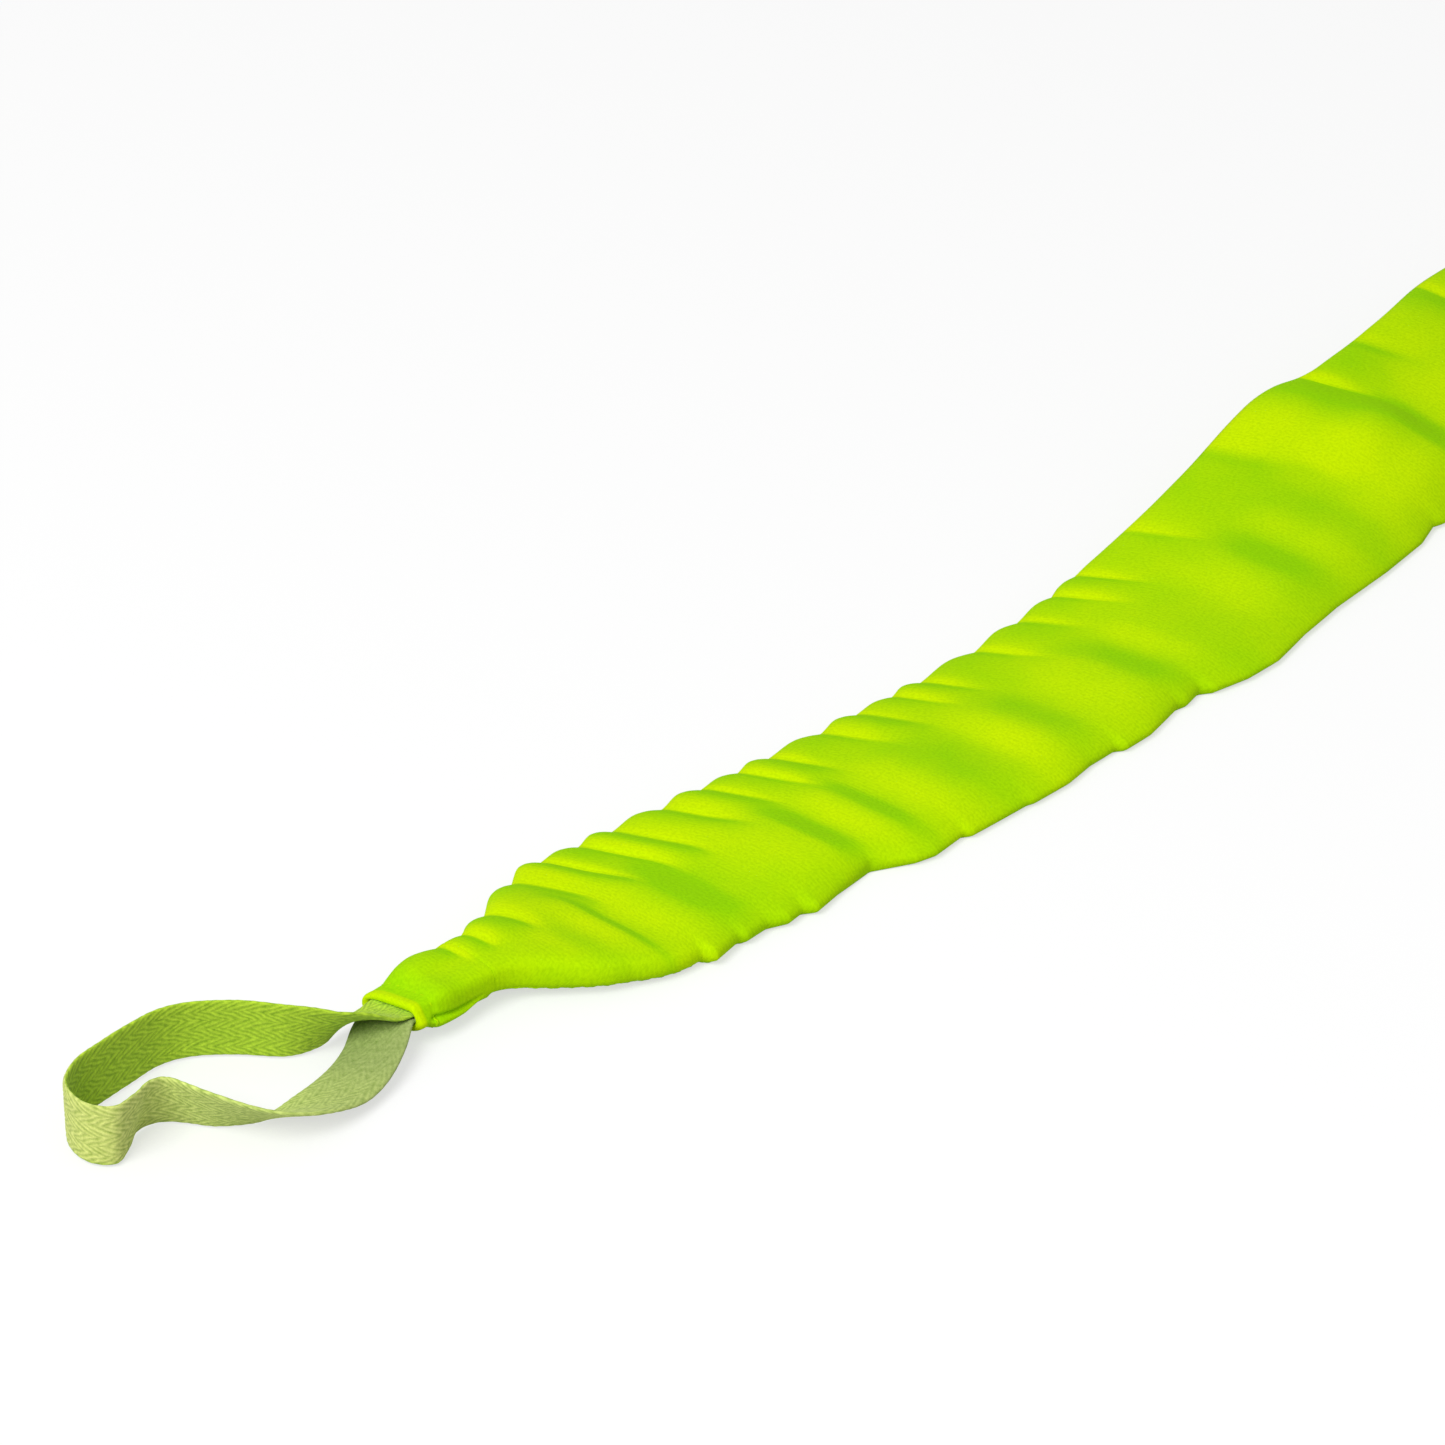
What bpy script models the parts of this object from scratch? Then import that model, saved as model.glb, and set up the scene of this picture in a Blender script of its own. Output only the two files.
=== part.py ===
"""Sleeved resistance band: a ruched fabric sleeve over a flat elastic, with a tape loop sewn into each end.

The band lies on the floor plane Z = 0 along +X, with its near end at negative X. Both ends are alike:
the far end is the near end turned half a turn about the Z axis through the middle of the band.
"""

import math

import bmesh
import bpy
from mathutils import Matrix, Vector

# Driving dimensions, in metres and degrees.

# How the band lies: its length from cuff mouth to cuff mouth, its sideways sway and the edge that lifts.
BAND_LENGTH = 0.640
BAND_SWAY = 0.0115
SWAY_LAG = 0.18
LIFT_ANGLE = 20.5
LIFT_PLACE = 0.395
LIFT_REACH_NEAR = 0.200
LIFT_REACH_FAR = 0.180

# Gap kept between pieces that touch on the real band.
CLEARANCE = 0.0003

# Herringbone tape of the end loops.
TAPE_WIDTH = 0.015
TAPE_THICKNESS = 0.0010
TAIL_LENGTH = 0.012
TAIL_OVERHANG = 0.004
LOOP_LENGTH = 0.079
LOOP_WIDTH = 0.037
LOOP_STEPS = 2

# Flat elastic inside the sleeve.
CORE_WIDTH = 0.042
CORE_THICKNESS = 0.0018
CORE_STATIONS = 34

# Gathered fabric sleeve.
SLEEVE_WALL = 0.0024
SLEEVE_SIDE = 0.0056
NECK_WALL = 0.0009
GATHER_CROWN = 0.0035
FLARE_LENGTH = 0.043
RING_POINTS = 12

# Ruffles of the sleeve, close together at the cuffs and wide apart in the middle.
RUFFLE_PITCH_AT_CUFF = 0.010
RUFFLE_PITCH_MIDDLE = 0.021
RUFFLE_RISE = 0.0014
RUFFLE_DIP = 0.0008
RUFFLE_EDGE = 0.0018
RUFFLE_SKEW = 0.004
FLOOR_CUT = 0.0005

# Folded cuff that closes each end over the sleeve, the elastic and the tape ends.
CUFF_LENGTH = 0.022
CUFF_WALL = 0.0011
CUFF_CROWN = 0.0026
LIP_LENGTH = 0.0030
LIP_HEIGHT = 0.0004
CUFF_POINTS = 16

# Sewing threads.
THREAD_RADIUS = 0.0003
TACK_PLACE = 0.0085
TACK_HALF_LENGTH = 0.0011
TACK_STITCHES = 8
TACK_SPACING = 0.0015
HEM_PLACE = 0.0042

# Sizes that follow from the ones above.
SLEEVE_WIDTH = CORE_WIDTH + 2 * (CLEARANCE + SLEEVE_SIDE)
SLEEVE_HEIGHT = CORE_THICKNESS + 2 * (CLEARANCE + SLEEVE_WALL)
NECK_HEIGHT = CORE_THICKNESS + 2 * (CLEARANCE + NECK_WALL)
STACK_HEIGHT = CORE_THICKNESS + 2 * (CLEARANCE + TAPE_THICKNESS)
CAVITY_WIDTH = TAPE_WIDTH + 2 * (CLEARANCE + NECK_WALL) + 2 * CLEARANCE
CAVITY_HEIGHT = max(NECK_HEIGHT, STACK_HEIGHT) + 2 * CLEARANCE
CUFF_WIDTH = CAVITY_WIDTH + 2 * CUFF_WALL
CUFF_HEIGHT = CAVITY_HEIGHT + 2 * CUFF_WALL
CUFF_LIFT = 2 * CLEARANCE + 2 * THREAD_RADIUS
CUFF_MIDDLE = CUFF_LIFT + CUFF_HEIGHT / 2
TAIL_OFFSET = CORE_THICKNESS / 2 + CLEARANCE + TAPE_THICKNESS / 2
NECK_START = TAIL_LENGTH + 3 * CLEARANCE
SHOULDER_WALL = NECK_WALL + CLEARANCE + CUFF_WALL

# Route of the tape round its loop, from the upper tail to the lower tail: share of the loop length away
# from the mouth, share of the loop width towards +Y, height of the tape's middle as a share of half its
# width, and lean in degrees, where 0 stands on edge and 90 lies flat.
LOOP_ROUTE = (
    (0.13, 0.02, 0.95, 55),
    (0.21, 0.05, 0.93, 28),
    (0.30, 0.16, 0.99, 12),
    (0.39, 0.38, 1.00, 9),
    (0.49, 0.55, 1.00, 8),
    (0.58, 0.61, 1.00, 5),
    (0.68, 0.59, 1.00, 0),
    (0.79, 0.55, 1.00, 0),
    (0.89, 0.50, 1.00, 0),
    (0.97, 0.38, 1.00, 0),
    (1.00, 0.23, 1.00, 0),
    (0.995, 0.08, 1.00, 0),
    (0.95, -0.02, 1.00, 4),
    (0.88, 0.03, 1.00, 12),
    (0.81, 0.11, 1.00, 20),
    (0.74, 0.07, 0.92, 35),
    (0.67, -0.18, 0.80, 46),
    (0.58, -0.36, 0.66, 57),
    (0.49, -0.41, 0.54, 68),
    (0.39, -0.395, 0.40, 80),
    (0.31, -0.36, 0.32, 89),
    (0.225, -0.295, 0.36, 85),
    (0.135, -0.185, 0.45, 82),
)


def ease(value, start, end):
    """Smooth step from 0 at start to 1 at end."""
    share = min(max((value - start) / (end - start), 0.0), 1.0)
    return share * share * (3.0 - 2.0 * share)


def sway(along):
    """Sideways place and heading of the band's middle line at a distance from the near mouth."""
    turn = 2 * math.pi * along / BAND_LENGTH
    offset = -BAND_SWAY * (math.sin(turn) - SWAY_LAG * math.sin(2 * turn))
    slope = -BAND_SWAY * (math.cos(turn) - 2 * SWAY_LAG * math.cos(2 * turn)) * 2 * math.pi / BAND_LENGTH
    return offset, math.atan(slope)


def end_distance(along):
    """Distance from the nearer cuff mouth."""
    return min(along, BAND_LENGTH - along)


def spread(along):
    """Share of the full width and of the way down to the floor, from 0 in the cuff to 1 past the flare."""
    return ease(end_distance(along), CUFF_LENGTH, CUFF_LENGTH + FLARE_LENGTH)


def place(along, across, up):
    """World point of a spot on the band, given along it, across to +Y and up from its mid-height."""
    reach = LIFT_REACH_NEAR if along < LIFT_PLACE else LIFT_REACH_FAR
    from_lift = min(abs(along - LIFT_PLACE) / reach, 1.0)
    lift = math.radians(LIFT_ANGLE) * math.cos(from_lift * math.pi / 2) ** 2
    middle = CUFF_MIDDLE + (SLEEVE_HEIGHT / 2 - FLOOR_CUT - CUFF_MIDDLE) * spread(along)
    from_edge = across + SLEEVE_WIDTH / 2
    side = from_edge * math.cos(lift) - up * math.sin(lift) - SLEEVE_WIDTH / 2
    height = middle + from_edge * math.sin(lift) + up * math.cos(lift)
    offset, heading = sway(along)
    return Vector((
        along - BAND_LENGTH / 2 - side * math.sin(heading),
        offset + side * math.cos(heading),
        height,
    ))


def core_half_width(along):
    """Half width of the elastic, drawn in to the tape's width where it enters the cuff."""
    return TAPE_WIDTH / 2 + (CORE_WIDTH - TAPE_WIDTH) / 2 * spread(along)


def rounded_ring(points, squareness_across, squareness_up):
    """Unit outline of a flattened round, as (across, up) pairs; lower powers give squarer corners."""
    ring = []
    for step in range(points):
        turn = 2 * math.pi * step / points
        across = math.copysign(abs(math.cos(turn)) ** squareness_across, math.cos(turn))
        up = math.copysign(abs(math.sin(turn)) ** squareness_up, math.sin(turn))
        ring.append((across, up))
    return ring


def new_collection(name):
    collection = bpy.data.collections.new(name)
    bpy.context.scene.collection.children.link(collection)
    return collection


def add_object(name, data, collection, parent=None):
    obj = bpy.data.objects.new(name, data)
    collection.objects.link(obj)
    obj.parent = parent
    return obj


def finish(obj, colour, roughness):
    """Give a piece its own plain material."""
    material = bpy.data.materials.new(obj.name + "_material")
    material.use_nodes = True
    shader = material.node_tree.nodes["Principled BSDF"]
    shader.inputs["Base Color"].default_value = (*colour, 1.0)
    shader.inputs["Roughness"].default_value = roughness
    shader.inputs["Metallic"].default_value = 0.0
    obj.data.materials.append(material)


def loft(name, rings):
    """Closed skin through rings of equal count, all split alike, with a flat cap on each end."""
    mesh = bmesh.new()
    loops = [[mesh.verts.new(point) for point in ring] for ring in rings]
    count = len(rings[0])
    for lower, upper in zip(loops, loops[1:]):
        for step in range(count):
            following = (step + 1) % count
            mesh.faces.new((lower[step], lower[following], upper[following], upper[step]))
    mesh.faces.new(reversed(loops[0]))
    mesh.faces.new(loops[-1])
    bmesh.ops.recalc_face_normals(mesh, faces=mesh.faces)
    bmesh.ops.triangulate(mesh, faces=mesh.faces, quad_method="FIXED")
    data = bpy.data.meshes.new(name)
    mesh.to_mesh(data)
    mesh.free()
    return data


def thread(name, points, closed=False):
    """Sewing thread along straight stitches."""
    curve = bpy.data.curves.new(name, "CURVE")
    curve.dimensions = "3D"
    curve.bevel_depth = THREAD_RADIUS
    curve.bevel_resolution = 0
    curve.use_fill_caps = not closed
    spline = curve.splines.new("POLY")
    spline.points.add(len(points) - 1)
    for knot, point in zip(spline.points, points):
        knot.co = (*point, 1.0)
    spline.use_cyclic_u = closed
    return curve


def cut(obj, cutter):
    """Take the cutter's shape out of a piece."""
    cutter.hide_render = True
    cutter.display_type = "WIRE"
    modifier = obj.modifiers.new("cut_" + cutter.name, "BOOLEAN")
    modifier.operation = "DIFFERENCE"
    modifier.solver = "EXACT"
    modifier.object = cutter


def core_rings(margin, start):
    """Rectangles along the elastic from one cuff to the other, grown by a margin on every side."""
    rings = []
    for station in range(CORE_STATIONS):
        along = start + (BAND_LENGTH - 2 * start) * station / (CORE_STATIONS - 1)
        half = core_half_width(along) + margin
        up = CORE_THICKNESS / 2 + margin
        corners = ((half, up), (-half, up), (-half, -up), (half, -up))
        rings.append([place(along, across, height) for across, height in corners])
    return rings


def ruffle_stations():
    """Distances from the near mouth of the dips and crests, as (distance, +1 crest or -1 dip) pairs."""
    start = CUFF_LENGTH + 2 * CLEARANCE + THREAD_RADIUS
    half = BAND_LENGTH / 2 - start
    count = max(round(2 * half / (RUFFLE_PITCH_AT_CUFF + RUFFLE_PITCH_MIDDLE)), 2)
    growth = (RUFFLE_PITCH_MIDDLE - RUFFLE_PITCH_AT_CUFF) / (count - 1)
    pitches = [RUFFLE_PITCH_AT_CUFF + growth * step for step in range(count)]
    fit = half / sum(pitches)
    near = []
    along = start
    for pitch in pitches:
        near.append((along, -1))
        near.append((along + pitch * fit / 2, 1))
        along += pitch * fit
    far = [(BAND_LENGTH - distance, wave) for distance, wave in reversed(near)]
    return near + [(BAND_LENGTH / 2, -1)] + far


def neck_ring(along):
    """Outline of the sleeve where it is drawn in to enter the cuff."""
    half_width = TAPE_WIDTH / 2 + CLEARANCE + NECK_WALL
    outline = rounded_ring(RING_POINTS, 0.5, 0.6)
    return [place(along, across * half_width, up * NECK_HEIGHT / 2) for across, up in outline]


def sleeve_ring(along, wave):
    """Outline of the ruched sleeve at a crest or a dip, flat where it lies on the floor."""
    from_cuff = end_distance(along) - CUFF_LENGTH
    crown = GATHER_CROWN * (1.0 - ease(from_cuff, 0.2 * FLARE_LENGTH, 1.2 * FLARE_LENGTH))
    depth = RUFFLE_RISE if wave > 0 else -RUFFLE_DIP
    share = spread(along)
    side = SHOULDER_WALL + (SLEEVE_SIDE - SHOULDER_WALL) * share
    half_width = core_half_width(along) + CLEARANCE + side + RUFFLE_EDGE * wave * share
    wall = SHOULDER_WALL + (SLEEVE_WALL - SHOULDER_WALL) * share
    ring = []
    for across, up in rounded_ring(RING_POINTS, 0.5, 0.8):
        half_height = CORE_THICKNESS / 2 + CLEARANCE + wall
        if up > 0:
            half_height += crown + depth
        point = place(along - RUFFLE_SKEW * across * share, across * half_width, up * half_height)
        point.z = max(point.z, 0.0)
        ring.append(point)
    return ring


def sleeve_rings():
    shoulder = CUFF_LENGTH + CLEARANCE
    rings = [neck_ring(NECK_START), neck_ring(shoulder)]
    rings += [sleeve_ring(along, wave) for along, wave in ruffle_stations()]
    rings += [neck_ring(BAND_LENGTH - shoulder), neck_ring(BAND_LENGTH - NECK_START)]
    return rings


def seam_points():
    """Line of the closing seam along the sleeve's -Y edge, a thread's gap outside the fabric."""
    points = []
    for along, wave in ruffle_stations():
        edge = sleeve_ring(along, wave)[RING_POINTS // 2]
        heading = sway(along)[1]
        outward = Vector((math.sin(heading), -math.cos(heading), 0.0))
        points.append(edge + outward * (CLEARANCE + 1.5 * THREAD_RADIUS))
    return points


def cuff_size(inward):
    """Half width, top and bottom of the cuff, from its mid-height, at a distance in from the mouth."""
    lip = LIP_HEIGHT * (1.0 - ease(inward, 0.6 * LIP_LENGTH, LIP_LENGTH))
    crown = CUFF_CROWN * math.sin(math.pi * min(inward / CUFF_LENGTH, 1.0)) ** 0.7
    return CUFF_WIDTH / 2 + lip, CUFF_HEIGHT / 2 + lip + crown, CUFF_HEIGHT / 2


def cuff_ring(inward, margin=0.0):
    """Outline of the cuff in its own end frame."""
    half_width, top, bottom = cuff_size(inward)
    ring = []
    for across, up in rounded_ring(CUFF_POINTS, 0.4, 0.5):
        height = (top if up > 0 else bottom) + margin
        ring.append(Vector((inward, across * (half_width + margin), CUFF_MIDDLE + up * height)))
    return ring


def cuff_rings():
    stations = [0.0, 0.6 * LIP_LENGTH, LIP_LENGTH, HEM_PLACE, TACK_PLACE - TACK_HALF_LENGTH]
    stations += [TACK_PLACE + TACK_HALF_LENGTH, 0.7 * CUFF_LENGTH, CUFF_LENGTH]
    return [cuff_ring(inward) for inward in sorted(stations)]


def cavity_rings():
    """Straight passage through the cuff for the tape tails, the elastic and the neck of the sleeve."""
    half_width = CAVITY_WIDTH / 2
    half_height = CAVITY_HEIGHT / 2
    corners = ((1, 1), (-1, 1), (-1, -1), (1, -1))
    rings = []
    for inward in (-CUFF_LENGTH / 4, CUFF_LENGTH * 5 / 4):
        rings.append([
            Vector((inward, across * half_width, CUFF_MIDDLE + up * half_height)) for across, up in corners
        ])
    return rings


def tack_legs():
    """Places where the bar tack goes through the stack, in its end frame, as (inward, across) pairs."""
    legs = []
    for stitch in range(TACK_STITCHES):
        inward = TACK_PLACE + TACK_HALF_LENGTH * (1 if stitch % 2 else -1)
        across = TACK_SPACING * (stitch - (TACK_STITCHES - 1) / 2)
        legs.append((inward, across))
    return legs


def tack_points():
    """Zigzag of the bar tack: over the cuff, through the whole stack, under the cuff and back up."""
    reach = CLEARANCE + THREAD_RADIUS
    points = []
    for stitch, (inward, across) in enumerate(tack_legs()):
        top = CUFF_MIDDLE + max(cuff_size(leg[0])[1] for leg in tack_legs()) + reach
        bottom = CUFF_MIDDLE - CUFF_HEIGHT / 2 - reach
        ends = [Vector((inward, across, bottom)), Vector((inward, across, top))]
        points += ends if stitch % 2 == 0 else reversed(ends)
    return points


def tack_holes(name):
    """Cutter with one needle hole for each place where the bar tack goes through."""
    mesh = bmesh.new()
    for inward, across in tack_legs():
        spot = Matrix.Translation((inward, across, CUFF_MIDDLE))
        radius = THREAD_RADIUS + CLEARANCE
        bmesh.ops.create_cone(
            mesh, cap_ends=True, segments=6, radius1=radius, radius2=radius,
            depth=3 * CUFF_HEIGHT, matrix=spot,
        )
    data = bpy.data.meshes.new(name)
    mesh.to_mesh(data)
    mesh.free()
    return data


def curve_through(knots, steps):
    """Catmull-Rom curve through the knots, with a number of steps between each two."""
    points = []
    for index in range(len(knots) - 1):
        before = knots[max(index - 1, 0)]
        start, end = knots[index], knots[index + 1]
        after = knots[min(index + 2, len(knots) - 1)]
        for step in range(steps):
            share = step / steps
            points.append(0.5 * (
                2 * start + (end - before) * share
                + (2 * before - 5 * start + 4 * end - after) * share ** 2
                + (3 * start - before - 3 * end + after) * share ** 3
            ))
    return points + [knots[-1]]


def tape_rings():
    """Cross-sections of the tape from its upper tail, round the loop, to its lower tail, from the hinge."""
    knots = [Vector((-TAIL_OVERHANG, 0.0, TAIL_OFFSET, 90.0))]
    for outward, across, height, lean in LOOP_ROUTE:
        middle = height * TAPE_WIDTH / 2 - CUFF_MIDDLE
        knots.append(Vector((-outward * LOOP_LENGTH, across * LOOP_WIDTH, middle, lean)))
    knots.append(Vector((-TAIL_OVERHANG, 0.0, -TAIL_OFFSET, 90.0)))
    upper_tail = Vector((TAIL_LENGTH, 0.0, TAIL_OFFSET, 90.0))
    lower_tail = Vector((TAIL_LENGTH, 0.0, -TAIL_OFFSET, 90.0))
    route = [upper_tail] + curve_through(knots, LOOP_STEPS) + [lower_tail]
    rings = []
    for index, knot in enumerate(route):
        before = route[max(index - 1, 0)]
        after = route[min(index + 1, len(route) - 1)]
        heading = (after.xyz - before.xyz).normalized()
        lean = math.radians(knot.w)
        rise = Vector((0.0, -math.sin(lean), math.cos(lean)))
        edge = (rise - heading * rise.dot(heading)).normalized() * TAPE_WIDTH / 2
        face = heading.cross(edge).normalized() * TAPE_THICKNESS / 2
        lowest = abs(edge.z) + abs(face.z) - CUFF_MIDDLE
        middle = Vector((knot.x, knot.y, max(knot.z, lowest) if knot.x < 0 else knot.z))
        rings.append([middle + edge + face, middle - edge + face, middle - edge - face, middle + edge - face])
    return rings


for existing in list(bpy.data.objects):
    bpy.data.objects.remove(existing, do_unlink=True)

band = new_collection("resistance_band")
cutters = new_collection("cutters")

LIME = (0.52, 0.80, 0.01)
LIME_THREAD = (0.40, 0.66, 0.02)
TAPE_GREEN = (0.47, 0.58, 0.16)
LATEX = (0.80, 0.72, 0.52)

# Elastic core.
core = add_object("elastic_core", loft("elastic_core", core_rings(0.0, LIP_LENGTH)), band)
finish(core, LATEX, 0.6)

# Sleeve, with a flat passage for the elastic.
sleeve = add_object("sleeve", loft("sleeve", sleeve_rings()), band)
finish(sleeve, LIME, 0.85)
bore = add_object("sleeve_bore", loft("sleeve_bore", core_rings(CLEARANCE, LIP_LENGTH)), cutters)
cut(sleeve, bore)

# Closing seam along the sleeve.
seam = add_object("sleeve_seam_thread", thread("sleeve_seam_thread", seam_points()), band)
finish(seam, LIME_THREAD, 0.7)

# Both ends: cuff, bar tack, hem stitch and tape loop.
for end_name, half_turn in (("near", 0.0), ("far", math.pi)):
    mouth = add_object(end_name + "_mouth", None, band)
    mouth.matrix_world = (
        Matrix.Rotation(half_turn, 4, "Z")
        @ Matrix.Translation((-BAND_LENGTH / 2, 0.0, 0.0))
        @ Matrix.Rotation(sway(0.0)[1], 4, "Z")
    )
    hinge = add_object(end_name + "_loop_hinge", None, band, mouth)
    hinge.location = (0.0, 0.0, CUFF_MIDDLE)

    holes = add_object(end_name + "_needle_holes", tack_holes(end_name + "_needle_holes"), cutters, mouth)
    cavity = add_object(end_name + "_cavity", loft(end_name + "_cavity", cavity_rings()), cutters, mouth)
    cut(core, holes)

    cuff = add_object(end_name + "_cuff", loft(end_name + "_cuff", cuff_rings()), band, mouth)
    finish(cuff, LIME, 0.85)
    cut(cuff, cavity)
    cut(cuff, holes)

    tape = add_object(end_name + "_loop_tape", loft(end_name + "_loop_tape", tape_rings()), band, hinge)
    finish(tape, TAPE_GREEN, 0.9)
    cut(tape, holes)

    tack = add_object(end_name + "_tack_thread", thread(end_name + "_tack_thread", tack_points()), band, mouth)
    finish(tack, LIME_THREAD, 0.7)

    hem_line = cuff_ring(HEM_PLACE, CLEARANCE + THREAD_RADIUS)
    hem = add_object(end_name + "_hem_thread", thread(end_name + "_hem_thread", hem_line, True), band, mouth)
    finish(hem, LIME_THREAD, 0.7)

bpy.context.view_layer.update()
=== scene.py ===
"""Looks of a sleeved resistance band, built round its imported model.

A flat elastic runs inside a gathered sleeve of lime knit. Each end is closed by a folded cuff that holds a
loop of herringbone tape. Lengths are in metres, and the band lies on the floor along +X.
"""

import math

import bpy
import numpy as np
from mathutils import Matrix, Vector


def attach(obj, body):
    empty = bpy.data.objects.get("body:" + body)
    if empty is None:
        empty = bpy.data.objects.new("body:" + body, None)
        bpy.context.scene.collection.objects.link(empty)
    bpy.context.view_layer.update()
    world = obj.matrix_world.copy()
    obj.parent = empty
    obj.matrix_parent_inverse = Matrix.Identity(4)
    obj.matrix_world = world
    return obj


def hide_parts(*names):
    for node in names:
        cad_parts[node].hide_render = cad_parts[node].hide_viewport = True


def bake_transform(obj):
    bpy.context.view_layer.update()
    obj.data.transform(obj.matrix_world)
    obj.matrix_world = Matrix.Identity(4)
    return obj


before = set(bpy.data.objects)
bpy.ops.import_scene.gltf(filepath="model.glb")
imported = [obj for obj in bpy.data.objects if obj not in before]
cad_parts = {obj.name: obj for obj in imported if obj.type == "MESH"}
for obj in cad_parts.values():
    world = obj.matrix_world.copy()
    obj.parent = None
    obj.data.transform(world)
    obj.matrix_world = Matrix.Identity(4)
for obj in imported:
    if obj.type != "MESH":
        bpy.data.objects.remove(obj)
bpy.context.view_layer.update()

# Elastic strip: a flat band of natural rubber, cut from sheet and drawn in at each end to go into the cuffs.
# It does the stretching. The sleeve hides all of it, and the bar tacks sew its ends to the tape.
MM = 0.001
BAND_LENGTH = 640 * MM
BAND_SWAY = 11.5 * MM
SWAY_LAG = 0.18
LIFT_ANGLE = math.radians(20.5)
LIFT_PLACE = 395 * MM
LIFT_REACH_NEAR = 200 * MM
LIFT_REACH_FAR = 180 * MM
CLEARANCE = 0.3 * MM
TAPE_WIDTH = 15 * MM
STRIP_WIDTH = 42 * MM
STRIP_THICKNESS = 1.8 * MM
STRIP_START = 5 * MM
STRIP_ROWS = 160
STRIP_COLUMNS = 24
STRIP_EVENNESS = 0.25
STRIP_POWERS = (12.0, 3.0)
CUFF_LENGTH = 22 * MM
CUFF_MIDDLE = 4.8 * MM
FLARE_LENGTH = 43 * MM
SLEEVE_WIDTH = 53.8 * MM
SLEEVE_HEIGHT = 7.2 * MM
FLOOR_CUT = 0.5 * MM
STRETCH_START = (CUFF_LENGTH - BAND_LENGTH / 2, 0.0, 0.0)
STRETCH_END = (BAND_LENGTH / 2 - CUFF_LENGTH, 0.0, 0.0)
# Sockets of a Mix node that mixes colours, and the spacing of the bands of a Wave texture whose scale is 1.
MIX_FACTOR, MIX_A, MIX_B, MIX_RESULT = 0, 6, 7, 2
WAVE_PERIOD = 2 * math.pi / 20


def ease(value, start, end):
    """Smooth step: 0 up to start, 1 from end on, and 3t squared less 2t cubed of the share t between."""
    share = np.clip((value - start) / (end - start), 0.0, 1.0)
    return share * share * (3.0 - 2.0 * share)


def sway(along):
    """Offset and heading of the middle line: a sine over the length less a weaker sine of half its period."""
    turn = 2 * np.pi * along / BAND_LENGTH
    offset = -BAND_SWAY * (np.sin(turn) - SWAY_LAG * np.sin(2 * turn))
    slope = -BAND_SWAY * (np.cos(turn) - 2 * SWAY_LAG * np.cos(2 * turn)) * 2 * np.pi / BAND_LENGTH
    return offset, np.arctan(slope)


def end_distance(along):
    """Distance from the nearer cuff mouth."""
    return np.minimum(along, BAND_LENGTH - along)


def spread(along):
    """Share of the full width, a smooth step from 0 at the cuff to 1 past the flare."""
    return ease(end_distance(along), CUFF_LENGTH, CUFF_LENGTH + FLARE_LENGTH)


def lay(along, across, up):
    """World points of the band. One edge stays down while the other lifts by a cosine-squared hump that is
    longer on the near side, the middle drops from the cuff's height to the floor by a smooth step, and the
    whole follows the sway."""
    reach = np.where(along < LIFT_PLACE, LIFT_REACH_NEAR, LIFT_REACH_FAR)
    from_lift = np.minimum(np.abs(along - LIFT_PLACE) / reach, 1.0)
    lift = LIFT_ANGLE * np.cos(from_lift * np.pi / 2) ** 2
    middle = CUFF_MIDDLE + (SLEEVE_HEIGHT / 2 - FLOOR_CUT - CUFF_MIDDLE) * spread(along)
    from_edge = across + SLEEVE_WIDTH / 2
    side = from_edge * np.cos(lift) - up * np.sin(lift) - SLEEVE_WIDTH / 2
    height = middle + from_edge * np.sin(lift) + up * np.cos(lift)
    offset, heading = sway(along)
    x = along - BAND_LENGTH / 2 - side * np.sin(heading)
    y = offset + side * np.cos(heading)
    return np.stack(np.broadcast_arrays(x, y, height), axis=-1)


def strip_half_width(along):
    """Half width of the elastic, from the tape's width in the cuff to its own."""
    return TAPE_WIDTH / 2 + (STRIP_WIDTH - TAPE_WIDTH) / 2 * spread(along)


def ring_across(columns, evenness):
    """Places across for a ring of points, from +1 over the top to -1 and back below, and +1 on top or -1
    below. The steps are between those of a cosine and even ones."""
    turn = 2 * np.pi * np.arange(columns) / columns
    across = (1.0 - evenness) * np.cos(turn) + evenness * np.arcsin(np.cos(turn)) * 2 / np.pi
    return across, np.where(turn < np.pi, 1.0, -1.0)


def bulge(across, across_power, up_power):
    """Height from 0 to 1 of a flattened round, where across and height to their powers add up to 1."""
    return np.maximum(1.0 - np.abs(across) ** across_power, 0.0) ** (1.0 / up_power)


def cloth_uv(points, ends):
    """Map of a grid of points in metres: distance round each row, and mean distance along the columns."""
    rows = np.concatenate([points, points[:1]]) if ends == "joined" else points
    ring = np.concatenate([rows, rows[:, :1]], axis=1)
    around = np.linalg.norm(np.diff(ring, axis=1), axis=2)
    around = np.concatenate([np.zeros((len(ring), 1)), np.cumsum(around, axis=1)], axis=1)
    along = np.linalg.norm(np.diff(rows, axis=0), axis=2).mean(axis=1)
    along = np.concatenate([[0.0], np.cumsum(along)])
    return np.stack(np.broadcast_arrays(around, along[:, None]), axis=-1)


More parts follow.
